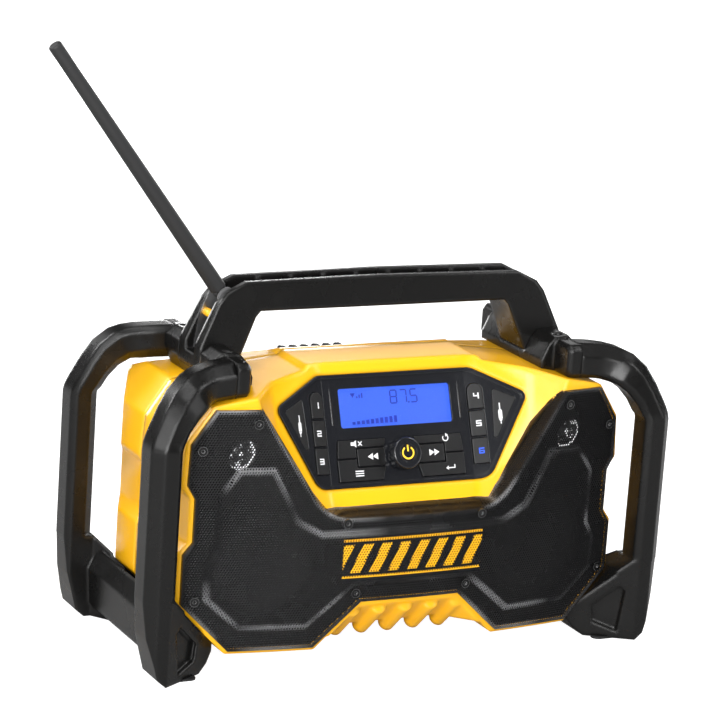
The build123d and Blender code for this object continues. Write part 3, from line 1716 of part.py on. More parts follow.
# ------------------------------------------------------------------ mains inlet
gland_neck_d = 11.8
gland_bore_d = 7.0
with BuildPart() as cord_gland:
    with BuildSketch(upright(rear_y + seat_gap)):
        with Locations((gland_x, gland_z)):
            RegularPolygon(9.0, 6)
    extrude(amount=-5.0)
    with BuildSketch(upright(rear_y + 9.0)):
        with Locations((gland_x, gland_z)):
            Circle(7.0)
    extrude(amount=6.0)
    with BuildSketch(upright(rear_y + 1.0)):
        with Locations((gland_x, gland_z)):
            Circle(gland_neck_d / 2)
    extrude(amount=shell_wall + 4.0)
    with BuildSketch(upright(rear_y + 20)):
        with Locations((gland_x, gland_z)):
            Circle(gland_bore_d / 2)
    extrude(amount=40, mode=Mode.SUBTRACT)
finish(cord_gland.part, "cord_gland")
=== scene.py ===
import bpy
import math
from mathutils import Matrix, Vector


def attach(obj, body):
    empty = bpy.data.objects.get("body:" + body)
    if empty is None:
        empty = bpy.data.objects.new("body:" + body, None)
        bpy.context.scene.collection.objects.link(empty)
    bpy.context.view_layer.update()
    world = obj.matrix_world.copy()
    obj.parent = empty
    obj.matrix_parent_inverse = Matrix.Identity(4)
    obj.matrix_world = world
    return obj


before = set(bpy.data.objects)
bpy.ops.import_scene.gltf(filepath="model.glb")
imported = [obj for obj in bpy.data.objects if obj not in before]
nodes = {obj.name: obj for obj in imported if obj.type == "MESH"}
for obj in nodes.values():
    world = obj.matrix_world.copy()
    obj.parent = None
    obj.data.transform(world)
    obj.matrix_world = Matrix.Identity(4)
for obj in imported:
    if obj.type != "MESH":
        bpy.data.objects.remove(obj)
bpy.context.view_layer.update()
bpy.ops.object.select_all(action="DESELECT")
print("frame loaded:", len(nodes), "nodes")

mm = 0.001


def pickOnly(obj):
    bpy.ops.object.select_all(action="DESELECT")
    obj.select_set(True)
    bpy.context.view_layer.objects.active = obj


def bakePlace(obj):
    # the finished piece sits at the origin with its place in its mesh
    pickOnly(obj)
    bpy.ops.object.transform_apply(location=True, rotation=True, scale=True)


def applyAll(obj):
    pickOnly(obj)
    for mod in list(obj.modifiers):
        bpy.ops.object.modifier_apply(modifier=mod.name)


def paint(obj, material):
    obj.data.materials.clear()
    obj.data.materials.append(material)


def newGroup(name, inputs, outputs):
    group = bpy.data.node_groups.new(name, "ShaderNodeTree")
    for label, value in inputs:
        socket = group.interface.new_socket(name=label, in_out="INPUT", socket_type="NodeSocketFloat")
        socket.default_value = value
    for label, kind in outputs:
        group.interface.new_socket(name=label, in_out="OUTPUT", socket_type="NodeSocket" + kind)
    return group, group.nodes.new("NodeGroupOutput")


def groupNode(tree, group, values=None):
    node = tree.nodes.new("ShaderNodeGroup")
    node.node_tree = group
    for label, value in (values or {}).items():
        node.inputs[label].default_value = value
    return node


def mathNode(tree, operation, *values, clamp=False):
    node = tree.nodes.new("ShaderNodeMath")
    node.operation = operation
    node.use_clamp = clamp
    for index, value in enumerate(values):
        if isinstance(value, (int, float)):
            node.inputs[index].default_value = value
        else:
            tree.links.new(value, node.inputs[index])
    return node.outputs[0]


def combine(tree, operation, values):
    result = values[0]
    for value in values[1:]:
        result = mathNode(tree, operation, result, value)
    return result


def mixColor(tree, factor, first, second):
    node = tree.nodes.new("ShaderNodeMix")
    node.data_type = "RGBA"
    for index, value in ((0, factor), (6, first), (7, second)):
        if isinstance(value, (int, float, tuple)):
            node.inputs[index].default_value = value
        else:
            tree.links.new(value, node.inputs[index])
    return node.outputs[2]


def choose(tree, factor, whenOn, whenOff):
    node = tree.nodes.new("ShaderNodeMix")
    tree.links.new(factor, node.inputs[0])
    tree.links.new(whenOff, node.inputs[2])
    tree.links.new(whenOn, node.inputs[3])
    return node.outputs[0]


def objectPlace(tree):
    return tree.nodes.new("ShaderNodeTexCoord").outputs["Object"]


def splitAxes(tree, vector):
    split = tree.nodes.new("ShaderNodeSeparateXYZ")
    tree.links.new(vector, split.inputs[0])
    return split.outputs


def noiseNode(tree, place, scale, detail=2.0):
    noise = tree.nodes.new("ShaderNodeTexNoise")
    noise.inputs["Detail"].default_value = detail
    if isinstance(scale, float):
        noise.inputs["Scale"].default_value = scale
    else:
        tree.links.new(scale, noise.inputs["Scale"])
    tree.links.new(place, noise.inputs["Vector"])
    return noise


def addBump(tree, shader, height, strength, depth, normal=None):
    bump = tree.nodes.new("ShaderNodeBump")
    bump.inputs["Strength"].default_value = strength
    bump.inputs["Distance"].default_value = depth
    tree.links.new(height, bump.inputs["Height"])
    if normal:
        tree.links.new(normal, bump.inputs["Normal"])
    tree.links.new(bump.outputs["Normal"], shader.inputs["Normal"])


def newMaterial(name):
    material = bpy.data.materials.new(name)
    material.use_nodes = True
    tree = material.node_tree
    return material, tree, tree.nodes["Principled BSDF"]


skinLook = {
    "grainSize": 900.0, "grain": 0.5, "grainDetail": 3.0, "grainRoughness": 0.6,
    "driftSize": 14.0, "driftDetail": 2.0,
    "smudgeSize": 31.0, "smudgeDetail": 5.0, "smudgeFrom": 0.52, "smudgeTo": 0.75,
}
edgeLook = {"width": 0.0012, "gain": 4.0, "samples": 8}


def buildMouldSkin():
    # moulded plastic: fine spark texture, slow colour drift and a few smudges
    group, end = newGroup(
        "mouldSkin",
        [("Grain Size", skinLook["grainSize"]), ("Drift Size", skinLook["driftSize"]),
         ("Grain", skinLook["grain"])],
        [("Height", "Float"), ("Drift", "Float"), ("Smudge", "Float")],
    )
    start = group.nodes.new("NodeGroupInput")
    place = objectPlace(group)
    grain = noiseNode(group, place, start.outputs["Grain Size"], skinLook["grainDetail"])
    grain.inputs["Roughness"].default_value = skinLook["grainRoughness"]
    drift = noiseNode(group, place, start.outputs["Drift Size"], skinLook["driftDetail"])
    smudge = noiseNode(group, place, skinLook["smudgeSize"], skinLook["smudgeDetail"])
    height = mathNode(group, "MULTIPLY", grain.outputs["Fac"], start.outputs["Grain"])
    group.links.new(height, end.inputs["Height"])
    group.links.new(drift.outputs["Fac"], end.inputs["Drift"])
    ramp = group.nodes.new("ShaderNodeValToRGB")
    ramp.color_ramp.elements[0].position = skinLook["smudgeFrom"]
    ramp.color_ramp.elements[1].position = skinLook["smudgeTo"]
    group.links.new(smudge.outputs["Fac"], ramp.inputs["Fac"])
    group.links.new(ramp.outputs["Color"], end.inputs["Smudge"])
    return group


def buildEdgeRound():
    # how far the rounded normal turns from the face near an edge; the shading is rounded with it, and its
    # mask places the painted edge highlights
    group, end = newGroup(
        "edgeRound",
        [("Width", edgeLook["width"]), ("Gain", edgeLook["gain"])],
        [("Edge", "Float"), ("Normal", "Vector")],
    )
    start = group.nodes.new("NodeGroupInput")
    bevel = group.nodes.new("ShaderNodeBevel")
    bevel.samples = edgeLook["samples"]
    geometry = group.nodes.new("ShaderNodeNewGeometry")
    dot = group.nodes.new("ShaderNodeVectorMath")
    dot.operation = "DOT_PRODUCT"
    group.links.new(start.outputs["Width"], bevel.inputs["Radius"])
    group.links.new(bevel.outputs["Normal"], dot.inputs[0])
    group.links.new(geometry.outputs["Normal"], dot.inputs[1])
    turned = mathNode(group, "SUBTRACT", 1.0, dot.outputs["Value"], clamp=True)
    edge = mathNode(group, "MULTIPLY", turned, start.outputs["Gain"], clamp=True)
    group.links.new(edge, end.inputs["Edge"])
    group.links.new(bevel.outputs["Normal"], end.inputs["Normal"])
    return group


mouldSkin = buildMouldSkin()
edgeRound = buildEdgeRound()

plasticShared = {"edgeGain": 2.5, "bumpDepth": 0.0002}
yellowLook = {
    "name": "yellowShell", "color": (0.93, 0.47, 0.008, 1), "colorDeep": (0.90, 0.44, 0.006, 1),
    "colorGlint": (1.0, 0.62, 0.06, 1), "edgeGlint": 0.2, "roughness": 0.25, "smudge": 0.02,
    "specular": 0.5, "grainSize": 1400.0, "bump": 0.04, "edgeWidth": 0.0060,
}
frameLook = {
    "name": "frameBlack", "color": (0.0034, 0.0033, 0.0032, 1), "colorDeep": (0.0060, 0.0058, 0.0056, 1),
    "colorGlint": (0.03, 0.029, 0.028, 1), "edgeGlint": 0.3, "roughness": 0.27, "smudge": 0.07,
    "specular": 0.31, "grainSize": 1900.0, "bump": 0.16, "edgeWidth": 0.0042,
}
bezelLook = {
    "name": "bezelBlack", "color": (0.0075, 0.0080, 0.0100, 1), "colorDeep": (0.0110, 0.0115, 0.0140, 1),
    "colorGlint": (0.05, 0.05, 0.05, 1), "edgeGlint": 0.3, "roughness": 0.17, "smudge": 0.05,
    "specular": 0.5, "grainSize": 2400.0, "bump": 0.10, "edgeWidth": 0.0006,
}
keyLook = {
    "name": "keyRubber", "color": (0.0040, 0.0040, 0.0044, 1), "colorDeep": (0.0065, 0.0065, 0.0070, 1),
    "colorGlint": (0.06, 0.06, 0.06, 1), "edgeGlint": 0.3, "roughness": 0.34, "smudge": 0.08,
    "specular": 0.42, "grainSize": 2600.0, "bump": 0.16, "edgeWidth": 0.0006,
}
rubberLook = {
    "name": "antennaRubber", "color": (0.008, 0.008, 0.0085, 1), "colorDeep": (0.013, 0.013, 0.0135, 1),
    "colorGlint": (0.07, 0.07, 0.07, 1), "edgeGlint": 0.2, "roughness": 0.55, "smudge": 0.08,
    "specular": 0.5, "grainSize": 2200.0, "bump": 0.3, "edgeWidth": 0.0006,
}
innerLook = {
    "name": "innerBlack", "color": (0.002, 0.002, 0.002, 1), "colorDeep": (0.003, 0.003, 0.003, 1),
    "colorGlint": (0.03, 0.03, 0.03, 1), "edgeGlint": 0.0, "roughness": 0.8, "smudge": 0.05,
    "specular": 0.08, "grainSize": 1500.0, "bump": 0.2, "edgeWidth": 0.0006,
}


def mouldedPlastic(look):
    material, tree, shader = newMaterial(look["name"])
    skin = groupNode(tree, mouldSkin, {"Grain Size": look["grainSize"], "Grain": 1.0})
    edgeGlint = groupNode(tree, edgeRound, {"Width": look["edgeWidth"], "Gain": plasticShared["edgeGain"]})
    drifted = mixColor(tree, skin.outputs["Drift"], look["color"], look["colorDeep"])
    # painted highlight: a lighter colour where the edge turns, for the glint a rounded edge catches
    glintShare = mathNode(tree, "MULTIPLY", edgeGlint.outputs["Edge"], look["edgeGlint"])
    coloured = mixColor(tree, glintShare, drifted, look["colorGlint"])
    tree.links.new(coloured, shader.inputs["Base Color"])
    smear = mathNode(tree, "MULTIPLY", skin.outputs["Smudge"], look["smudge"])
    tree.links.new(mathNode(tree, "ADD", smear, look["roughness"]), shader.inputs["Roughness"])
    addBump(tree, shader, skin.outputs["Height"], look["bump"], plasticShared["bumpDepth"],
            edgeGlint.outputs["Normal"])
    shader.inputs["Specular IOR Level"].default_value = look["specular"]
    return material


yellowShell = mouldedPlastic(yellowLook)
frameBlack = mouldedPlastic(frameLook)
bezelBlack = mouldedPlastic(bezelLook)
keyRubber = mouldedPlastic(keyLook)
antennaRubber = mouldedPlastic(rubberLook)
innerBlack = mouldedPlastic(innerLook)

metalShared = {
    "shade": 0.8, "smudge": 0.12, "bump": 0.12, "bumpDepth": 0.0002,
    "rimGain": 3.0, "rimGlintColor": (0.6, 0.6, 0.6, 1),
}
steelLook = {"name": "plainSteel", "color": (0.52, 0.52, 0.53, 1), "roughness": 0.34, "grainSize": 700.0}
screwLook = {
    "name": "blackScrew", "color": (0.030, 0.030, 0.031, 1), "roughness": 0.26, "grainSize": 900.0,
    "rimWidth": 0.0007,
}


def darkened(color, share):
    return tuple(part * share for part in color[:3]) + (1,)


def metalFinish(look):
    material, tree, shader = newMaterial(look["name"])
    skin = groupNode(tree, mouldSkin, {"Grain Size": look["grainSize"], "Grain": 1.0})
    darker = darkened(look["color"], metalShared["shade"])
    coloured = mixColor(tree, skin.outputs["Drift"], look["color"], darker)
    if "rimWidth" in look:
        # painted highlight: a bright ring round the rim of the screw head
        edgeGlint = groupNode(tree, edgeRound, {"Width": look["rimWidth"], "Gain": metalShared["rimGain"]})
        coloured = mixColor(tree, edgeGlint.outputs["Edge"], coloured, metalShared["rimGlintColor"])
    tree.links.new(coloured, shader.inputs["Base Color"])
    smear = mathNode(tree, "MULTIPLY", skin.outputs["Smudge"], metalShared["smudge"])
    tree.links.new(mathNode(tree, "ADD", smear, look["roughness"]), shader.inputs["Roughness"])
    shader.inputs["Metallic"].default_value = 1.0
    addBump(tree, shader, skin.outputs["Height"], metalShared["bump"], metalShared["bumpDepth"])
    return material


plainSteel = metalFinish(steelLook)
blackScrew = metalFinish(screwLook)
print("plastics and metals ready")

# perforated sheet in front of the speakers
sheetLook = {
    "pitch": 2.2 * mm, "hole": 0.80 * mm, "margin": 1.2 * mm, "bend": 4.5 * mm,
    "paint": (0.0045, 0.0045, 0.0048, 1), "paintDeep": (0.0075, 0.0075, 0.0080, 1),
    "roughness": 0.26, "smudge": 0.08, "specular": 0.22,
    "grainSize": 1500.0, "grain": 0.1, "bump": 0.6, "bumpDepth": 0.0003,
    "frontTurn": 0.8, "backTurn": 0.5,  # how far a face turns forward or back to count
}
# row step against pitch, softness of a hole's cut and of its rolled rim, and a shift above zero
holeLook = {"rise": 3 ** 0.5, "cut": 0.00008, "rolled": 0.00032, "shift": 1000.0}
# half outline of the sheet: straight edges from point to point in x and z, inside on their left
sheetEdges = {
    "outer": [
        ((184.5, 150), (182.5, 180.7)), ((182.5, 180.7), (165, 207.4)), ((165, 207.4), (0, 207.4)),
        ((0, 18), (146.8, 18)), ((146.8, 18), (184.5, 55.7)), ((184.5, 55.7), (184.5, 95)),
    ],
    "band": [
        ((184.5, 94.7), (177.5, 104.5)), ((177.5, 104.5), (177.5, 138.5)), ((177.5, 138.5), (184.5, 149)),
    ],
    "arch": [((42, 52.6), (79.5, 18)), ((0, 52.6), (42, 52.6))],
    "funnel": [((71, 124.4), (0, 124.4)), ((126, 205.9), (71, 124.4))],
}
# the skirt that leads back to the panel: its direction, and where its holes may lie, in metres
skirtLook = {
    "alongX": 0.5593, "alongZ": 0.8290, "flatness": 0.53, "lowest": 0.1235,
    "slope": 0.6747, "reach": 0.0005, "middleY": 0.0835, "halfDepth": 0.0080,
}
stripeLook = {
    "color": (0.90, 0.45, 0.012, 1), "centre": (-1.0, 88.5), "half": (59.5, 14.5), "pitch": 16.0,
    "share": 0.52, "slant": 0.45, "lineHalf": 0.9, "lineGap": 3.2, "shift": 100.0,
}
sheetGlintLook = {
    "color": (0.42, 0.42, 0.43, 1), "gain": 3.0, "everywhere": 0.05,
    "patchScale": 17.0, "patchDetail": 1.0, "patchFrom": 0.50, "patchGain": 7.0, "patchShare": 0.15,
    # spots of painted highlight on the bends, the brightest: x, z and reach in millimetres
    "spots": (
        (-112, 172, 42), (-155, 206, 24), (-138, 163, 28), (-64, 110, 42), (-158, 52, 26), (-110, 37, 36),
        (72, 50, 28), (148, 142, 15), (154, 97, 13), (98, 37, 30), (79, 128, 20), (-72, 55, 16),
    ),
}


def edgeDistance(tree, x, z, edge):
    # distance to the right of the edge, in metres
    (x0, z0), (x1, z1) = edge
    length = math.hypot(x1 - x0, z1 - z0)
    nx, nz = (z1 - z0) / length, -(x1 - x0) / length
    fromX = mathNode(tree, "MULTIPLY", x, nx)
    fromZ = mathNode(tree, "MULTIPLY", z, nz)
    both = mathNode(tree, "ADD", fromX, fromZ)
    return mathNode(tree, "SUBTRACT", both, (nx * x0 + nz * z0) * mm)


def buildSheetField():
    # how far a point lies outside the outline of the sheet; negative inside
    group, end = newGroup("sheetField", [], [("Field", "Float")])
    axes = splitAxes(group, objectPlace(group))
    x = mathNode(group, "ABSOLUTE", axes[0])
    distances = {
        name: [edgeDistance(group, x, axes[2], edge) for edge in edges]
        for name, edges in sheetEdges.items()
    }
    outer = combine(group, "MAXIMUM", distances["outer"])
    # a notch is cut where a point lies outside all of its edges
    notches = [combine(group, "MINIMUM", distances[name]) for name in ("band", "arch", "funnel")]
    group.links.new(combine(group, "MAXIMUM", [outer] + notches), end.inputs["Field"])
    return group


def buildPerforation():
    # staggered round holes: nearest centre of two shifted grids
    group, end = newGroup(
        "perforation",
        [("Across", 0.0), ("Along", 0.0), ("Pitch", sheetLook["pitch"]), ("Radius", sheetLook["hole"])],
        [("Metal", "Float"), ("Height", "Float")],
    )
    start = group.nodes.new("NodeGroupInput")
    pitch = start.outputs["Pitch"]
    rise = mathNode(group, "MULTIPLY", pitch, holeLook["rise"])

    def gridDistance(shift):
        squares = []
        for axis, step in ((start.outputs["Across"], pitch), (start.outputs["Along"], rise)):
            scaled = mathNode(group, "DIVIDE", axis, step)
            moved = mathNode(group, "ADD", scaled, shift + holeLook["shift"])
            centred = mathNode(group, "SUBTRACT", mathNode(group, "FRACT", moved), 0.5)
            length = mathNode(group, "MULTIPLY", centred, step)
            squares.append(mathNode(group, "MULTIPLY", length, length))
        return mathNode(group, "SQRT", mathNode(group, "ADD", *squares))

    near = mathNode(group, "MINIMUM", gridDistance(0.0), gridDistance(0.5))
    past = mathNode(group, "SUBTRACT", near, start.outputs["Radius"])
    group.links.new(mathNode(group, "DIVIDE", past, holeLook["cut"], clamp=True), end.inputs["Metal"])
    group.links.new(mathNode(group, "DIVIDE", past, holeLook["rolled"], clamp=True), end.inputs["Height"])
    return group


def buildStripeBand():
    # plain slanted stripes between two lines, printed on the middle of the sheet
    group, end = newGroup("stripeBand", [], [("Stripe", "Float")])
    axes = splitAxes(group, objectPlace(group))
    (centreX, centreZ), (halfX, halfZ) = stripeLook["centre"], stripeLook["half"]
    x = mathNode(group, "SUBTRACT", mathNode(group, "MULTIPLY", axes[0], 1 / mm), centreX)
    z = mathNode(group, "SUBTRACT", mathNode(group, "MULTIPLY", axes[2], 1 / mm), centreZ)
    farX, farZ = mathNode(group, "ABSOLUTE", x), mathNode(group, "ABSOLUTE", z)
    inX = mathNode(group, "LESS_THAN", farX, halfX)
    inZ = mathNode(group, "LESS_THAN", farZ, halfZ - stripeLook["lineGap"])
    fromLine = mathNode(group, "ABSOLUTE", mathNode(group, "SUBTRACT", farZ, halfZ))
    onLine = mathNode(group, "LESS_THAN", fromLine, stripeLook["lineHalf"])
    leaned = mathNode(group, "SUBTRACT", x, mathNode(group, "MULTIPLY", z, stripeLook["slant"]))
    counted = mathNode(group, "DIVIDE", leaned, stripeLook["pitch"])
    turns = mathNode(group, "FRACT", mathNode(group, "ADD", counted, stripeLook["shift"]))
    bar = mathNode(group, "MULTIPLY", mathNode(group, "LESS_THAN", turns, stripeLook["share"]), inZ)
    either = mathNode(group, "MAXIMUM", bar, onLine)
    group.links.new(mathNode(group, "MULTIPLY", either, inX), end.inputs["Stripe"])
    return group


def buildGlintSpots():
    # soft round patches of painted highlight on the bends of the sheet
    group, end = newGroup("glintSpots", [], [("Amount", "Float")])
    axes = splitAxes(group, objectPlace(group))
    patches = []
    for x, z, reach in sheetGlintLook["spots"]:
        squares = []
        for axis, centre in ((axes[0], x), (axes[2], z)):
            offset = mathNode(group, "MULTIPLY_ADD", axis, 1 / mm / reach, -centre / reach)
            squares.append(mathNode(group, "MULTIPLY", offset, offset))
        patches.append(mathNode(group, "SUBTRACT", 1.0, mathNode(group, "ADD", *squares), clamp=True))
    group.links.new(combine(group, "MAXIMUM", patches), end.inputs["Amount"])
    return group


sheetField = buildSheetField()
glintSpots = buildGlintSpots()
stripeBand = buildStripeBand()
perforation = buildPerforation()


def perforatedHoles(tree, across, along):
    node = groupNode(tree, perforation, {"Pitch": sheetLook["pitch"], "Radius": sheetLook["hole"]})
    tree.links.new(across, node.inputs["Across"])
    tree.links.new(along, node.inputs["Along"])
    return node.outputs["Metal"], node.outputs["Height"]


def skirtPlace(tree, axes, turn):
    # how far along the skirt a point lies, and whether it lies on the skirt
    halfX = mathNode(tree, "ABSOLUTE", axes[0])
    slantX = mathNode(tree, "MULTIPLY", halfX, skirtLook["alongX"])
    slantZ = mathNode(tree, "MULTIPLY", axes[2], skirtLook["alongZ"])
    slanted = mathNode(tree, "ADD", slantX, slantZ)
    flatness = mathNode(tree, "MULTIPLY", mathNode(tree, "ABSOLUTE", turn[2]), skirtLook["flatness"])
    isSlanted = mathNode(tree, "GREATER_THAN", mathNode(tree, "ABSOLUTE", turn[0]), flatness)
    along = choose(tree, isSlanted, slanted, axes[0])
    above = mathNode(tree, "GREATER_THAN", axes[2], skirtLook["lowest"])
    fromLine = mathNode(tree, "SUBTRACT", halfX, mathNode(tree, "MULTIPLY", axes[2], skirtLook["slope"]))
    inside = mathNode(tree, "LESS_THAN", fromLine, skirtLook["reach"])
    fromMiddle = mathNode(tree, "ABSOLUTE", mathNode(tree, "ADD", axes[1], skirtLook["middleY"]))
    shallow = mathNode(tree, "LESS_THAN", fromMiddle, skirtLook["halfDepth"])
    return along, combine(tree, "MULTIPLY", [above, inside, shallow])


def sheetGlintAmount(tree, place, edge):
    # painted highlight on the bends: faint and patchy everywhere, strong in the spots
    patch = noiseNode(tree, place, sheetGlintLook["patchScale"], sheetGlintLook["patchDetail"])
    above = mathNode(tree, "SUBTRACT", patch.outputs["Fac"], sheetGlintLook["patchFrom"])
    lively = mathNode(tree, "MULTIPLY", above, sheetGlintLook["patchGain"], clamp=True)
    faint = mathNode(tree, "MULTIPLY_ADD", lively, sheetGlintLook["patchShare"], sheetGlintLook["everywhere"])
    spots = groupNode(tree, glintSpots)
    amount = mathNode(tree, "ADD", spots.outputs["Amount"], faint, clamp=True)
    return mathNode(tree, "MULTIPLY", edge, amount)


def perforatedSteel():
    material, tree, shader = newMaterial("perforatedSteel")
    place = objectPlace(tree)
    axes = splitAxes(tree, place)
    turn = splitAxes(tree, tree.nodes.new("ShaderNodeNewGeometry").outputs["True Normal"])
    isFront = mathNode(tree, "GREATER_THAN", mathNode(tree, "ABSOLUTE", turn[1]), sheetLook["frontTurn"])

    # on the front the rows run level, on the skirt they follow its edge and its depth
    along, onSkirt = skirtPlace(tree, axes, turn)
    frontMetal, frontHeight = perforatedHoles(tree, axes[0], axes[2])
    skirtMetal, skirtHeight = perforatedHoles(tree, along, axes[1])
    field = groupNode(tree, sheetField)
    border = mathNode(tree, "ADD", field.outputs["Field"], sheetLook["margin"])
    inMargin = mathNode(tree, "GREATER_THAN", border, 0.0)
    frontMetal = mathNode(tree, "MAXIMUM", frontMetal, inMargin)
    frontHeight = mathNode(tree, "MAXIMUM", frontHeight, inMargin)
    onSide = mathNode(tree, "MULTIPLY", onSkirt, mathNode(tree, "SUBTRACT", 1.0, isFront))
    metal = choose(tree, onSide, skirtMetal, frontMetal)
    height = choose(tree, onSide, skirtHeight, frontHeight)

    skin = groupNode(tree, mouldSkin, {"Grain Size": sheetLook["grainSize"], "Grain": sheetLook["grain"]})
    edgeGlint = groupNode(tree, edgeRound, {"Width": sheetLook["bend"], "Gain": sheetGlintLook["gain"]})
    painted = mixColor(tree, skin.outputs["Drift"], sheetLook["paint"], sheetLook["paintDeep"])
    striped = groupNode(tree, stripeBand)
    onFront = mathNode(tree, "MULTIPLY", striped.outputs["Stripe"], isFront)
    banded = mixColor(tree, onFront, painted, stripeLook["color"])
    # painted highlight: lighter metal on the bends of the sheet
    glint = sheetGlintAmount(tree, place, edgeGlint.outputs["Edge"])
    tree.links.new(mixColor(tree, glint, banded, sheetGlintLook["color"]), shader.inputs["Base Color"])
    shader.inputs["Specular IOR Level"].default_value = sheetLook["specular"]
    smear = mathNode(tree, "MULTIPLY", skin.outputs["Smudge"], sheetLook["smudge"])
    tree.links.new(mathNode(tree, "ADD", smear, sheetLook["roughness"]), shader.inputs["Roughness"])
    grained = mathNode(tree, "ADD", height, skin.outputs["Height"])
    addBump(tree, shader, grained, sheetLook["bump"], sheetLook["bumpDepth"], edgeGlint.outputs["Normal"])
    # the back of the sheet is open, so that each hole shows the dark behind it
    isBack = mathNode(tree, "GREATER_THAN", turn[1], sheetLook["backTurn"])
    shown = mathNode(tree, "MULTIPLY", metal, mathNode(tree, "SUBTRACT", 1.0, isBack))
    tree.links.new(shown, shader.inputs["Alpha"])
    return material


# the dark baffle of the yellow shell: behind the sheet, and in front of the back edge of its skirt
baffleLook = {
    "black": (0.0015, 0.0015, 0.0015, 1), "rougher": 0.65, "inside": -0.0012, "nearSheet": 0.0030,
    "forward": -0.0800, "halfWidth": 0.130, "middleZ": 0.1620, "halfHeight": 0.0440,
}


def frontShellPlastic():
    material = mouldedPlastic({**yellowLook, "name": "frontShell"})
    tree = material.node_tree
    shader = tree.nodes["Principled BSDF"]
    field = groupNode(tree, sheetField).outputs["Field"]
    axes = splitAxes(tree, objectPlace(tree))
    fromMiddle = mathNode(tree, "SUBTRACT", axes[2], baffleLook["middleZ"])
    behindSkirt = combine(tree, "MULTIPLY", [
        mathNode(tree, "LESS_THAN", field, baffleLook["nearSheet"]),
        mathNode(tree, "LESS_THAN", axes[1], baffleLook["forward"]),
        mathNode(tree, "LESS_THAN", mathNode(tree, "ABSOLUTE", axes[0]), baffleLook["halfWidth"]),
        mathNode(tree, "LESS_THAN", mathNode(tree, "ABSOLUTE", fromMiddle), baffleLook["halfHeight"]),
    ])
    behindSheet = mathNode(tree, "LESS_THAN", field, baffleLook["inside"])
    baffle = mathNode(tree, "MAXIMUM", behindSheet, behindSkirt)
    skinColor = shader.inputs["Base Color"].links[0].from_socket
    tree.links.new(mixColor(tree, baffle, skinColor, baffleLook["black"]), shader.inputs["Base Color"])
    skinRough = shader.inputs["Roughness"].links[0].from_socket
    rougher = mathNode(tree, "MULTIPLY", baffle, baffleLook["rougher"])
    tree.links.new(mathNode(tree, "ADD", skinRough, rougher), shader.inputs["Roughness"])
    # a black metal mirrors nothing, so the baffle stays dark behind the holes
    tree.links.new(baffle, shader.inputs["Metallic"])
    return material


tweeterLook = {
    "centre": (140.6, 170.6), "ring": (11.0, 12.9), "cap": 1.6, "speckScale": 260.0, "speckFrom": 0.6,
    "paintedGlint": (0.75, 0.75, 0.77, 1), "cloth": (0.006, 0.006, 0.006, 1), "glow": 0.42, "roughness": 0.35,
}


def tweeterFace():
    # painted highlight: a bright ring, speckles and a cap on a black dome, which also glow, in place of
    # the dome's glints
    material, tree, shader = newMaterial("tweeterFace")
    place = objectPlace(tree)
    axes = splitAxes(tree, place)
    squares = []
    for value, centre in zip((mathNode(tree, "ABSOLUTE", axes[0]), axes[2]), tweeterLook["centre"]):
        offset = mathNode(tree, "SUBTRACT", mathNode(tree, "MULTIPLY", value, 1 / mm), centre)
        squares.append(mathNode(tree, "MULTIPLY", offset, offset))
    radius = mathNode(tree, "SQRT", mathNode(tree, "ADD", *squares))
    inner, outer = tweeterLook["ring"]
    fromRing = mathNode(tree, "ABSOLUTE", mathNode(tree, "SUBTRACT", radius, (inner + outer) / 2))
    ring = mathNode(tree, "LESS_THAN", fromRing, (outer - inner) / 2)
    speck = noiseNode(tree, place, tweeterLook["speckScale"])
    bright = mathNode(tree, "GREATER_THAN", speck.outputs["Fac"], tweeterLook["speckFrom"])
    flecks = mathNode(tree, "MULTIPLY", bright, mathNode(tree, "LESS_THAN", radius, inner))
    cap = mathNode(tree, "LESS_THAN", radius, tweeterLook["cap"])
    paintedGlint = combine(tree, "MAXIMUM", [flecks, cap, ring])
    color = mixColor(tree, paintedGlint, tweeterLook["cloth"], tweeterLook["paintedGlint"])
    tree.links.new(color, shader.inputs["Base Color"])
    tree.links.new(color, shader.inputs["Emission Color"])
    shader.inputs["Emission Strength"].default_value = tweeterLook["glow"]
    shader.inputs["Roughness"].default_value = tweeterLook["roughness"]
    return material


tweeterGlints = tweeterFace()
sheetSteel = perforatedSteel()
frontShell = frontShellPlastic()
print("perforated sheet ready")

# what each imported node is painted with; the other nodes are keys or lie inside
nodePaint = (
    (frontShell, ("front_housing",)),
    (yellowShell, ("rear_housing", "antenna_stop")),
    (frameBlack, (
        "left_side_frame", "right_side_frame", "top_handle", "left_hub", "right_hub",
        "battery_door", "door_latch", "cord_gland", "antenna_knuckle",
    )),
    (antennaRubber, ("antenna_whip", "antenna_cap", "foot_pads", "housing_seal")),
    (keyRubber, ("aux_cover_left", "aux_cover_right")),
    (bezelBlack, ("control_bezel", "volume_knob", "power_button")),
    (plainSteel, ("antenna_bracket", "antenna_pin", "door_hinge_pin")),
    (blackScrew, ("housing_screws", "hub_screws", "grille_screws")),
    (sheetSteel, ("speaker_grille",)),
    (tweeterGlints, ("left_tweeter", "right_tweeter")),
)
# nodes whose flat steps are shaded as one bend, up to this many degrees
bendAngles = {
    "left_side_frame": 26.0, "right_side_frame": 26.0, "left_hub": 26.0, "right_hub": 26.0,
    "top_handle": 26.0, "front_housing": 34.0, "rear_housing": 34.0,
}
bendLook = {"merge": 0.00001, "weight": 60}


def paintNodes():
    finishes = {name: material for material, names in nodePaint for name in names}
    for name, obj in nodes.items():
        isKey = name.endswith("_button") or name.startswith("preset_button")
        paint(obj, finishes.get(name, keyRubber if isKey else innerBlack))


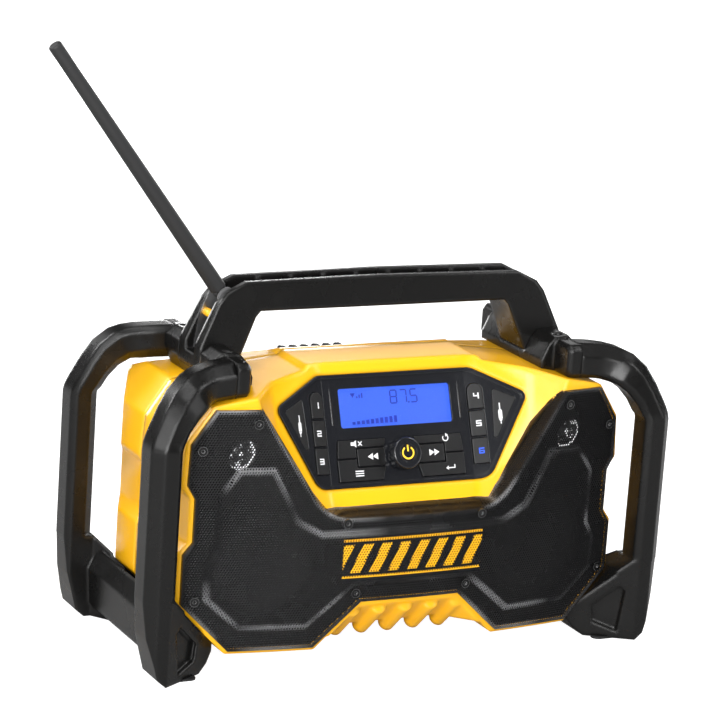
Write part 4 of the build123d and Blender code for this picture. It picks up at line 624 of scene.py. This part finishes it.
def smoothBends(obj, angle):
    # smooth across the small turns of a bend, sharp at real edges
    for face in obj.data.polygons:
        face.use_smooth = True
    weld = obj.modifiers.new("weld", "WELD")
    weld.merge_threshold = bendLook["merge"]
    crease = obj.modifiers.new("crease", "EDGE_SPLIT")
    crease.split_angle = math.radians(angle)
    crease.use_edge_sharp = False
    even = obj.modifiers.new("even", "WEIGHTED_NORMAL")
    even.weight = bendLook["weight"]


paintNodes()
for name, angle in bendAngles.items():
    smoothBends(nodes[name], angle)
print("nodes painted")

# control panel: its middle, and the two wings that turn towards each other
panelLook = {
    "origin": (0.0, -54.2, 175.0), "tilt": 22.2, "wing": 61.5, "wingTurn": 17.18, "keyTop": 1.32,
}
inkLook = {
    "white": (0.80, 0.80, 0.82, 1), "blue": (0.02, 0.10, 0.75, 1), "amber": (0.95, 0.55, 0.03, 1),
    "whiteGlow": 0.12, "blueGlow": 0.35, "amberGlow": 0.30, "thick": 0.10, "merge": 0.001,
    "worn": 0.82, "grainSize": 3000.0, "smudge": 0.1, "roughness": 0.5,
}
displayLook = {
    "back": (0.050, 0.160, 0.98, 1), "digit": (0.004, 0.016, 0.26, 1), "base": (0.01, 0.02, 0.08, 1),
    "fadeReach": 3.2, "fadePower": 1.5, "dimmed": 0.88, "cellScale": 700.0, "cellDepth": 0.12,
    "roughness": 0.4,
}
windowLook = {"color": (0.95, 0.96, 1.0, 1), "bending": 1.12, "smudge": 0.04, "roughness": 0.02}


def panelFrame(side=0):
    # matrix from panel millimetres (across, up, out) to the frame in metres
    tilt = math.radians(panelLook["tilt"])
    across = Vector((1, 0, 0))
    up = Vector((0, math.sin(tilt), math.cos(tilt)))
    out = Vector((0, -math.cos(tilt), math.sin(tilt)))
    origin = Vector(panelLook["origin"])
    if side:
        turn = math.radians(panelLook["wingTurn"])
        origin = origin + across * side * panelLook["wing"]
        across, out = (
            across * math.cos(turn) + out * side * math.sin(turn),
            out * math.cos(turn) - across * side * math.sin(turn),
        )
    axes = Matrix((across, up, out)).transposed().to_4x4()
    return Matrix.Translation(origin * mm) @ axes @ Matrix.Scale(mm, 4)


def printedInk(name, color, glow):
    material, tree, shader = newMaterial(name)
    skin = groupNode(tree, mouldSkin, {"Grain Size": inkLook["grainSize"], "Grain": 1.0})
    inked = mixColor(tree, skin.outputs["Height"], color, darkened(color, inkLook["worn"]))
    tree.links.new(inked, shader.inputs["Base Color"])
    tree.links.new(inked, shader.inputs["Emission Color"])
    smear = mathNode(tree, "MULTIPLY", skin.outputs["Smudge"], inkLook["smudge"])
    tree.links.new(mathNode(tree, "ADD", smear, inkLook["roughness"]), shader.inputs["Roughness"])
    shader.inputs["Emission Strength"].default_value = glow
    return material


def displayGlow():
    # backlit segment display: slow falloff to the ends and a fine cell grid
    material, tree, shader = newMaterial("displayGlow")
    place = objectPlace(tree)
    fromMiddle = mathNode(tree, "ABSOLUTE", splitAxes(tree, place)[0])
    fall = mathNode(tree, "MULTIPLY", fromMiddle, displayLook["fadeReach"], clamp=True)
    fade = mathNode(tree, "POWER", fall, displayLook["fadePower"])
    lit = mixColor(tree, fade, displayLook["back"], darkened(displayLook["back"], displayLook["dimmed"]))
    cells = tree.nodes.new("ShaderNodeTexVoronoi")
    cells.inputs["Scale"].default_value = displayLook["cellScale"]
    tree.links.new(place, cells.inputs["Vector"])
    grid = mathNode(tree, "MULTIPLY", cells.outputs["Distance"], displayLook["cellDepth"])
    tree.links.new(mixColor(tree, grid, lit, displayLook["digit"]), shader.inputs["Emission Color"])
    shader.inputs["Emission Strength"].default_value = 1.0
    shader.inputs["Base Color"].default_value = displayLook["base"]
    shader.inputs["Roughness"].default_value = displayLook["roughness"]
    return material


def windowClear():
    # clear plastic with a faint scuff in its roughness
    material, tree, shader = newMaterial("windowClear")
    skin = groupNode(tree, mouldSkin, {"Grain": 1.0})
    smear = mathNode(tree, "MULTIPLY", skin.outputs["Smudge"], windowLook["smudge"])
    tree.links.new(mathNode(tree, "ADD", smear, windowLook["roughness"]), shader.inputs["Roughness"])
    shader.inputs["Base Color"].default_value = windowLook["color"]
    shader.inputs["Transmission Weight"].default_value = 1.0
    shader.inputs["IOR"].default_value = windowLook["bending"]
    return material


# the white, blue and amber key marks also glow a little: painted light on the print
whiteInk = printedInk("whiteInk", inkLook["white"], inkLook["whiteGlow"])
blueInk = printedInk("blueInk", inkLook["blue"], inkLook["blueGlow"])
amberInk = printedInk("amberInk", inkLook["amber"], inkLook["amberGlow"])
displayInk = printedInk("displayInk", displayLook["digit"], 1.0)
displayBlue = displayGlow()
windowGlass = windowClear()


def flatBar(width, height, at=(0, 0), turn=0.0):
    bpy.ops.object.select_all(action="DESELECT")
    bpy.ops.mesh.primitive_plane_add(size=1, location=(at[0], at[1], 0),
                                     rotation=(0, 0, math.radians(turn)))
    bar = bpy.context.active_object
    bar.scale = (width, height, 1)
    bakePlace(bar)
    return bar


def flatTriangle(width, height, at=(0, 0), turn=0.0):
    # points to the right before it is turned
    bpy.ops.object.select_all(action="DESELECT")
    bpy.ops.mesh.primitive_circle_add(vertices=3, radius=1.0, fill_type="NGON")
    tip = bpy.context.active_object
    tip.rotation_euler = (0, 0, -math.pi / 2)
    bakePlace(tip)
    tip.scale = (width / 1.5, height / math.sqrt(3), 1)
    bakePlace(tip)
    tip.rotation_euler = (0, 0, math.radians(turn))
    tip.location = (at[0], at[1], 0)
    bakePlace(tip)
    return tip


def flatDisc(radius, at, vertices):
    bpy.ops.object.select_all(action="DESELECT")
    bpy.ops.mesh.primitive_circle_add(vertices=vertices, radius=radius, fill_type="NGON",
                                      location=(at[0], at[1], 0))
    disc = bpy.context.active_object
    bakePlace(disc)
    return disc


def flatArc(radius, stroke, start, sweep, steps=28):
    # a short edge spun round the centre
    bpy.ops.object.select_all(action="DESELECT")
    bpy.ops.mesh.primitive_plane_add(size=1)
    arc = bpy.context.active_object
    bpy.ops.object.mode_set(mode="EDIT")
    bpy.ops.mesh.select_all(action="SELECT")
    bpy.ops.mesh.merge(type="CENTER")
    bpy.ops.transform.translate(value=(radius - stroke / 2, 0, 0))
    bpy.ops.mesh.extrude_region_move(TRANSFORM_OT_translate={"value": (stroke, 0, 0)})
    bpy.ops.mesh.select_all(action="SELECT")
    bpy.ops.mesh.spin(steps=steps, angle=math.radians(sweep), center=(0, 0, 0), axis=(0, 0, 1))
    bpy.ops.mesh.select_all(action="SELECT")
    bpy.ops.mesh.normals_make_consistent(inside=False)
    bpy.ops.object.mode_set(mode="OBJECT")
    arc.rotation_euler = (0, 0, math.radians(start))
    bakePlace(arc)
    return arc


def finishInk(name, parts, place, material, body, thick=inkLook["thick"]):
    # join the flat parts, give them the thickness of print and set them on the face
    bpy.ops.object.select_all(action="DESELECT")
    for part in parts:
        part.select_set(True)
    piece = parts[0]
    bpy.context.view_layer.objects.active = piece
    bpy.ops.object.join()
    piece.name = name
    bpy.ops.object.mode_set(mode="EDIT")
    bpy.ops.mesh.select_all(action="SELECT")
    bpy.ops.mesh.remove_doubles(threshold=inkLook["merge"])
    bpy.ops.mesh.quads_convert_to_tris(quad_method="BEAUTY", ngon_method="BEAUTY")
    bpy.ops.mesh.normals_make_consistent(inside=False)
    bpy.ops.object.mode_set(mode="OBJECT")
    for face in piece.data.polygons:
        if face.normal.z < 0:
            face.flip()
    solid = piece.modifiers.new("print", "SOLIDIFY")
    solid.thickness = thick
    solid.offset = 1.0
    solid.use_even_offset = True
    applyAll(piece)
    piece.matrix_world = place
    bakePlace(piece)
    paint(piece, material)
    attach(piece, body)


# each sign's flat parts: sizes and place in millimetres, turns in degrees
signMakers = {"bar": flatBar, "tip": flatTriangle, "disc": flatDisc, "arc": flatArc}
signParts = {
    # a small jack plug seen from the side: tip, sleeve, collar, body, boot and lead
    "plug": (
        ("disc", 0.55, (0, 7.2), 12), ("bar", 0.9, 5.4, (0, 4.4)), ("bar", 2.2, 1.0, (0, 1.9)),
        ("bar", 3.0, 6.2, (0, -1.6)), ("tip", 2.6, 3.0, (0, -5.9), -90), ("bar", 0.7, 2.4, (0, -7.6)),
    ),
    "seekBack": (("tip", 4.3, 5.2, (-2.2, 0), 180), ("tip", 4.3, 5.2, (2.2, 0), 180)),
    "seekForward": (("tip", 4.3, 5.2, (-2.2, 0)), ("tip", 4.3, 5.2, (2.2, 0))),
    "power": (("arc", 4.6, 1.3, 56, 292), ("bar", 1.3, 5.0, (0, 3.5))),
    "mute": (
        ("bar", 2.4, 2.6, (-3.4, 0)), ("tip", 3.4, 5.6, (-1.2, 0), 180),
        ("bar", 4.4, 0.75, (3.3, 0), 45), ("bar", 4.4, 0.75, (3.3, 0), -45),
    ),
    "menu": (("bar", 7.2, 0.8, (0, 1.8)), ("bar", 7.2, 0.8, (0, 0)), ("bar", 7.2, 0.8, (0, -1.8))),
    "mode": (("arc", 2.3, 0.75, 70, 285), ("tip", 2.2, 2.8, (1.0, 2.3))),
    "enter": (
        ("bar", 5.4, 0.8, (0.6, -0.9)), ("bar", 0.8, 2.9, (3.3, 0.15)),
        ("tip", 2.3, 3.4, (-2.9, -0.9), 180),
    ),
}


def drawSign(name):
    return [signMakers[kind](*sizes) for kind, *sizes in signParts[name]]


# seven segments: top, upper right, lower right, bottom, lower left, upper left, middle
segmentSets = {
    "1": "0110000", "2": "1101101", "3": "1111001", "4": "0110011", "5": "1011011",
    "6": "1011111", "7": "1110000", "8": "1111111",
}
segmentPlace = [(0, 1, 0), (1, 0.5, 1), (1, -0.5, 1), (0, -1, 0), (-1, -0.5, 1), (-1, 0.5, 1), (0, 0, 0)]


def segmentDigit(digit, centre, width, height, stroke, gap):
    bars = []
    for lit, (x, y, upright) in zip(segmentSets[digit], segmentPlace):
        if lit == "0":
            continue
        at = (centre[0] + x * width / 2, centre[1] + y * height / 2)
        size = (stroke, height / 2 + gap) if upright else (width + gap, stroke)
        bars.append(flatBar(*size, at))
    return bars


# where the printed signs sit on the keys, in panel millimetres
keyMarks = {
    "rows": 3, "presetX": 8.4, "presetY": 1.9, "presetPitch": 21.6, "bluePreset": 6,
    "presetDigit": (3.5, 3.7, 0.95, 0.95),  # width, height, stroke, overlap at the corners
    "keys": (
        ("seek_back", "seekBack", (-23.9, -18.1)), ("seek_forward", "seekForward", (28.0, -18.1)),
        ("mute", "mute", (-37.9, -7.6)), ("mode", "mode", (39.5, -7.6)),
        ("menu", "menu", (-37.2, -30.6)), ("enter", "enter", (42.0, -30.2)),
    ),
    "power": (0, -18.0, 13.12), "plug": (26.4, 8.8, 0.02),
}
displayMarks = {
    "digit": (5.4, 10.0, 1.05, -0.525), "digitY": 27.4, "digits": (("8", 0), ("7", 8.6), ("5", 17.6)),
    "point": (1.3, 1.3, (13.1, 22.6)), "mast": (3.6, 4.2, (-35, 30.6), -90),
    # rows of rising bars: count, width, first height, growth, start and pitch
    "signal": (3, 1.2, 1.5, 1.2, (-31.4, 28.6), 2.2), "level": (10, 2.6, 2.2, 0.34, (-36, 8.6), 4.0),
    "depth": -2.5, "thick": 0.05,
}


def risingBars(count, width, first, growth, start, pitch):
    return [
        flatBar(width, first + growth * step, (start[0] + pitch * step, start[1] + growth / 2 * step))
        for step in range(count)
    ]


def dressKeys():
    lift = Matrix.Translation((0, 0, panelLook["keyTop"]))
    rows = keyMarks["rows"]
    for number in range(1, 2 * rows + 1):
        side = -1 if number <= rows else 1
        row = (number - 1) % rows - 1
        at = (side * keyMarks["presetX"], keyMarks["presetY"] - row * keyMarks["presetPitch"])
        digit = segmentDigit(str(number), at, *keyMarks["presetDigit"])
        ink = blueInk if number == keyMarks["bluePreset"] else whiteInk
        finishInk("presetNumber" + str(number), digit, panelFrame(side) @ lift, ink,
                  "preset_button_" + str(number))
    for name, sign, (x, y) in keyMarks["keys"]:
        spot = panelFrame() @ lift @ Matrix.Translation((x, y, 0))
        finishInk(name + "Mark", drawSign(sign), spot, whiteInk, name + "_button")
    powerPlace = panelFrame() @ Matrix.Translation(keyMarks["power"])
    finishInk("powerMark", drawSign("power"), powerPlace, amberInk, "power_button")
    x, y, lifted = keyMarks["plug"]
    for side, name in ((-1, "left"), (1, "right")):
        place = panelFrame(side) @ Matrix.Translation((side * x, y, lifted))
        finishInk(name + "PlugMark", drawSign("plug"), place, whiteInk, "aux_cover_" + name)


def dressDisplay():
    # digits, a signal sign and a level bar inside the window
    parts = []
    for digit, x in displayMarks["digits"]:
        parts += segmentDigit(digit, (x, displayMarks["digitY"]), *displayMarks["digit"])
    parts.append(flatBar(*displayMarks["point"]))
    parts.append(flatTriangle(*displayMarks["mast"]))
    parts += risingBars(*displayMarks["signal"]) + risingBars(*displayMarks["level"])
    place = panelFrame() @ Matrix.Translation((0, 0, displayMarks["depth"]))
    finishInk("displayDigits", parts, place, displayInk, "radio_body", displayMarks["thick"])
    paint(nodes["lcd_module"], displayBlue)
    paint(nodes["display_window"], windowGlass)


ribLook = {
    "radius": 0.9, "length": 29.0, "sides": 20, "round": 0.72, "steps": 4, "flatten": 0.7,
    "at": (55.4, 21.6), "capAngle": 50, "smoothAngle": 40,
}


def windowRib(side, name):
    # rounded rib beside the window, from a cylinder with domed ends
    bpy.ops.object.select_all(action="DESELECT")
    bpy.ops.mesh.primitive_cylinder_add(vertices=ribLook["sides"], radius=ribLook["radius"],
                                        depth=ribLook["length"], rotation=(math.pi / 2, 0, 0))
    rib = bpy.context.active_object
    rib.name = name
    bakePlace(rib)
    soft = rib.modifiers.new("soft", "BEVEL")
    soft.width = ribLook["round"]
    soft.segments = ribLook["steps"]
    soft.limit_method = "ANGLE"
    soft.angle_limit = math.radians(ribLook["capAngle"])
    applyAll(rib)
    rib.scale = (1.0, 1.0, ribLook["flatten"])
    bakePlace(rib)
    x, y = ribLook["at"]
    rib.matrix_world = panelFrame() @ Matrix.Translation((side * x, y, 0.0))
    bakePlace(rib)
    bpy.ops.object.shade_smooth_by_angle(angle=math.radians(ribLook["smoothAngle"]))
    paint(rib, bezelBlack)
    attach(rib, "radio_body")


dressKeys()
dressDisplay()
windowRib(-1, "windowRibLeft")
windowRib(1, "windowRibRight")
print("control panel dressed")

# studio: pale floor, soft dome and lamps
floorLook = {
    "color": (0.42, 0.42, 0.42, 1), "size": 24.0, "glow": 0.95, "roughness": 0.9, "specular": 0.2,
}
domeLook = {
    "levels": ((0.0, 0.05), (0.55, 0.07), (0.86, 0.10), (0.95, 0.7)),  # height and brightness
    "strength": 0.8, "backdrop": (1.3, 1.3, 1.3, 1),
}
# each lamp: its place, the point it faces, its size and its power
lampPlaces = {
    "keyBox": ((-2.3, -1.1, 1.5), (0, 0, 0.15), (1.0, 1.4), 23.0),
    "camBox": ((-1.3, -2.3, 1.0), (0, 0, 0.15), (1.4, 1.2), 68.0),
    "lowBox": ((-2.0, -1.9, 0.35), (0, 0, 0.12), (1.3, 0.5), 24.0),
    "fillBox": ((1.9, -1.9, 0.8), (0, 0, 0.15), (0.5, 1.4), 12.0),
    "sideBox": ((1.9, -1.1, 2.2), (0, 0, 0.15), (0.9, 0.9), 26.0),
    "topBox": ((-0.6, -0.4, 2.1), (0, 0, 0.2), (1.2, 0.8), 14.0),
    "frontBox": ((-0.5, -2.4, 2.6), (0, 0, 0.15), (1.2, 0.5), 12.0),
    "rearBox": ((-1.7, 2.0, 1.7), (0, 0, 0.2), (1.2, 0.9), 50.0),
    "rearFill": ((2.3, 1.6, 0.7), (0, 0, 0.2), (0.9, 1.1), 20.0),
    "backLow": ((0.4, 2.7, 0.24), (0, 0, 0.18), (1.7, 0.36), 26.0),
    "rimBox": ((1.0, 2.2, 1.2), (0, 0, 0.2), (1.2, 0.9), 4.5),
}


def makeFloor():
    bpy.ops.object.select_all(action="DESELECT")
    bpy.ops.mesh.primitive_plane_add(size=floorLook["size"], location=(0, 0, 0))
    floor = bpy.context.active_object
    floor.name = "studioFloor"
    material, tree, shader = newMaterial("studioPaper")
    shader.inputs["Base Color"].default_value = floorLook["color"]
    shader.inputs["Roughness"].default_value = floorLook["roughness"]
    shader.inputs["Specular IOR Level"].default_value = floorLook["specular"]
    path = tree.nodes.new("ShaderNodeLightPath")
    glow = mathNode(tree, "MULTIPLY", path.outputs["Is Camera Ray"], floorLook["glow"])
    shader.inputs["Emission Color"].default_value = (1, 1, 1, 1)
    tree.links.new(glow, shader.inputs["Emission Strength"])
    paint(floor, material)


def makeDome():
    # overhead soft dome over a dark horizon
    world = bpy.data.worlds.new("studioWorld")
    world.use_nodes = True
    tree = world.node_tree
    place = tree.nodes.new("ShaderNodeTexCoord")
    ramp = tree.nodes.new("ShaderNodeValToRGB")
    tree.links.new(splitAxes(tree, place.outputs["Generated"])[2], ramp.inputs[0])
    steps = ramp.color_ramp.elements
    while len(steps) < len(domeLook["levels"]):
        steps.new(0.5)
    for step, (position, level) in zip(steps, domeLook["levels"]):
        step.position = position
        step.color = (level, level, level, 1)
    sky = tree.nodes["Background"]
    path = tree.nodes.new("ShaderNodeLightPath")
    paper = mixColor(tree, path.outputs["Is Camera Ray"], ramp.outputs[0], domeLook["backdrop"])
    tree.links.new(paper, sky.inputs[0])
    sky.inputs[1].default_value = domeLook["strength"]
    bpy.context.scene.world = world


def addLamp(name, spot, aim, size, power):
    data = bpy.data.lights.new(name, "AREA")
    data.shape = "RECTANGLE"
    data.size, data.size_y = size
    data.energy = power
    lamp = bpy.data.objects.new(name, data)
    bpy.context.scene.collection.objects.link(lamp)
    lamp.location = spot
    lamp.rotation_mode = "QUATERNION"
    lamp.rotation_quaternion = (Vector(aim) - Vector(spot)).to_track_quat("-Z", "Y")


makeFloor()
makeDome()
for name, settings in lampPlaces.items():
    addLamp(name, *settings)
bpy.context.scene.view_settings.view_transform = "Standard"

cameraPlace = {
    "eye": (-1.11834618, -2.17047873, 0.83869449),
    "right": (0.89621057, -0.43847768, 0.06740879),
    "up": (0.04995929, 0.25073687, 0.96676527),
    "back": (-0.44080686, -0.86305756, 0.24661907),
    "lens": 160.51, "sensor": 36.0,
}


def makeCamera():
    data = bpy.data.cameras.new("studioCamera")
    data.sensor_width = cameraPlace["sensor"]
    data.lens = cameraPlace["lens"]
    camera = bpy.data.objects.new("studioCamera", data)
    bpy.context.scene.collection.objects.link(camera)
    turn = Matrix((cameraPlace["right"], cameraPlace["up"], cameraPlace["back"])).transposed()
    camera.rotation_mode = "QUATERNION"
    camera.rotation_quaternion = turn.to_quaternion()
    camera.location = cameraPlace["eye"]
    bpy.context.scene.camera = camera


makeCamera()
print("stage, lights and camera ready")

bpy.context.view_layer.update()
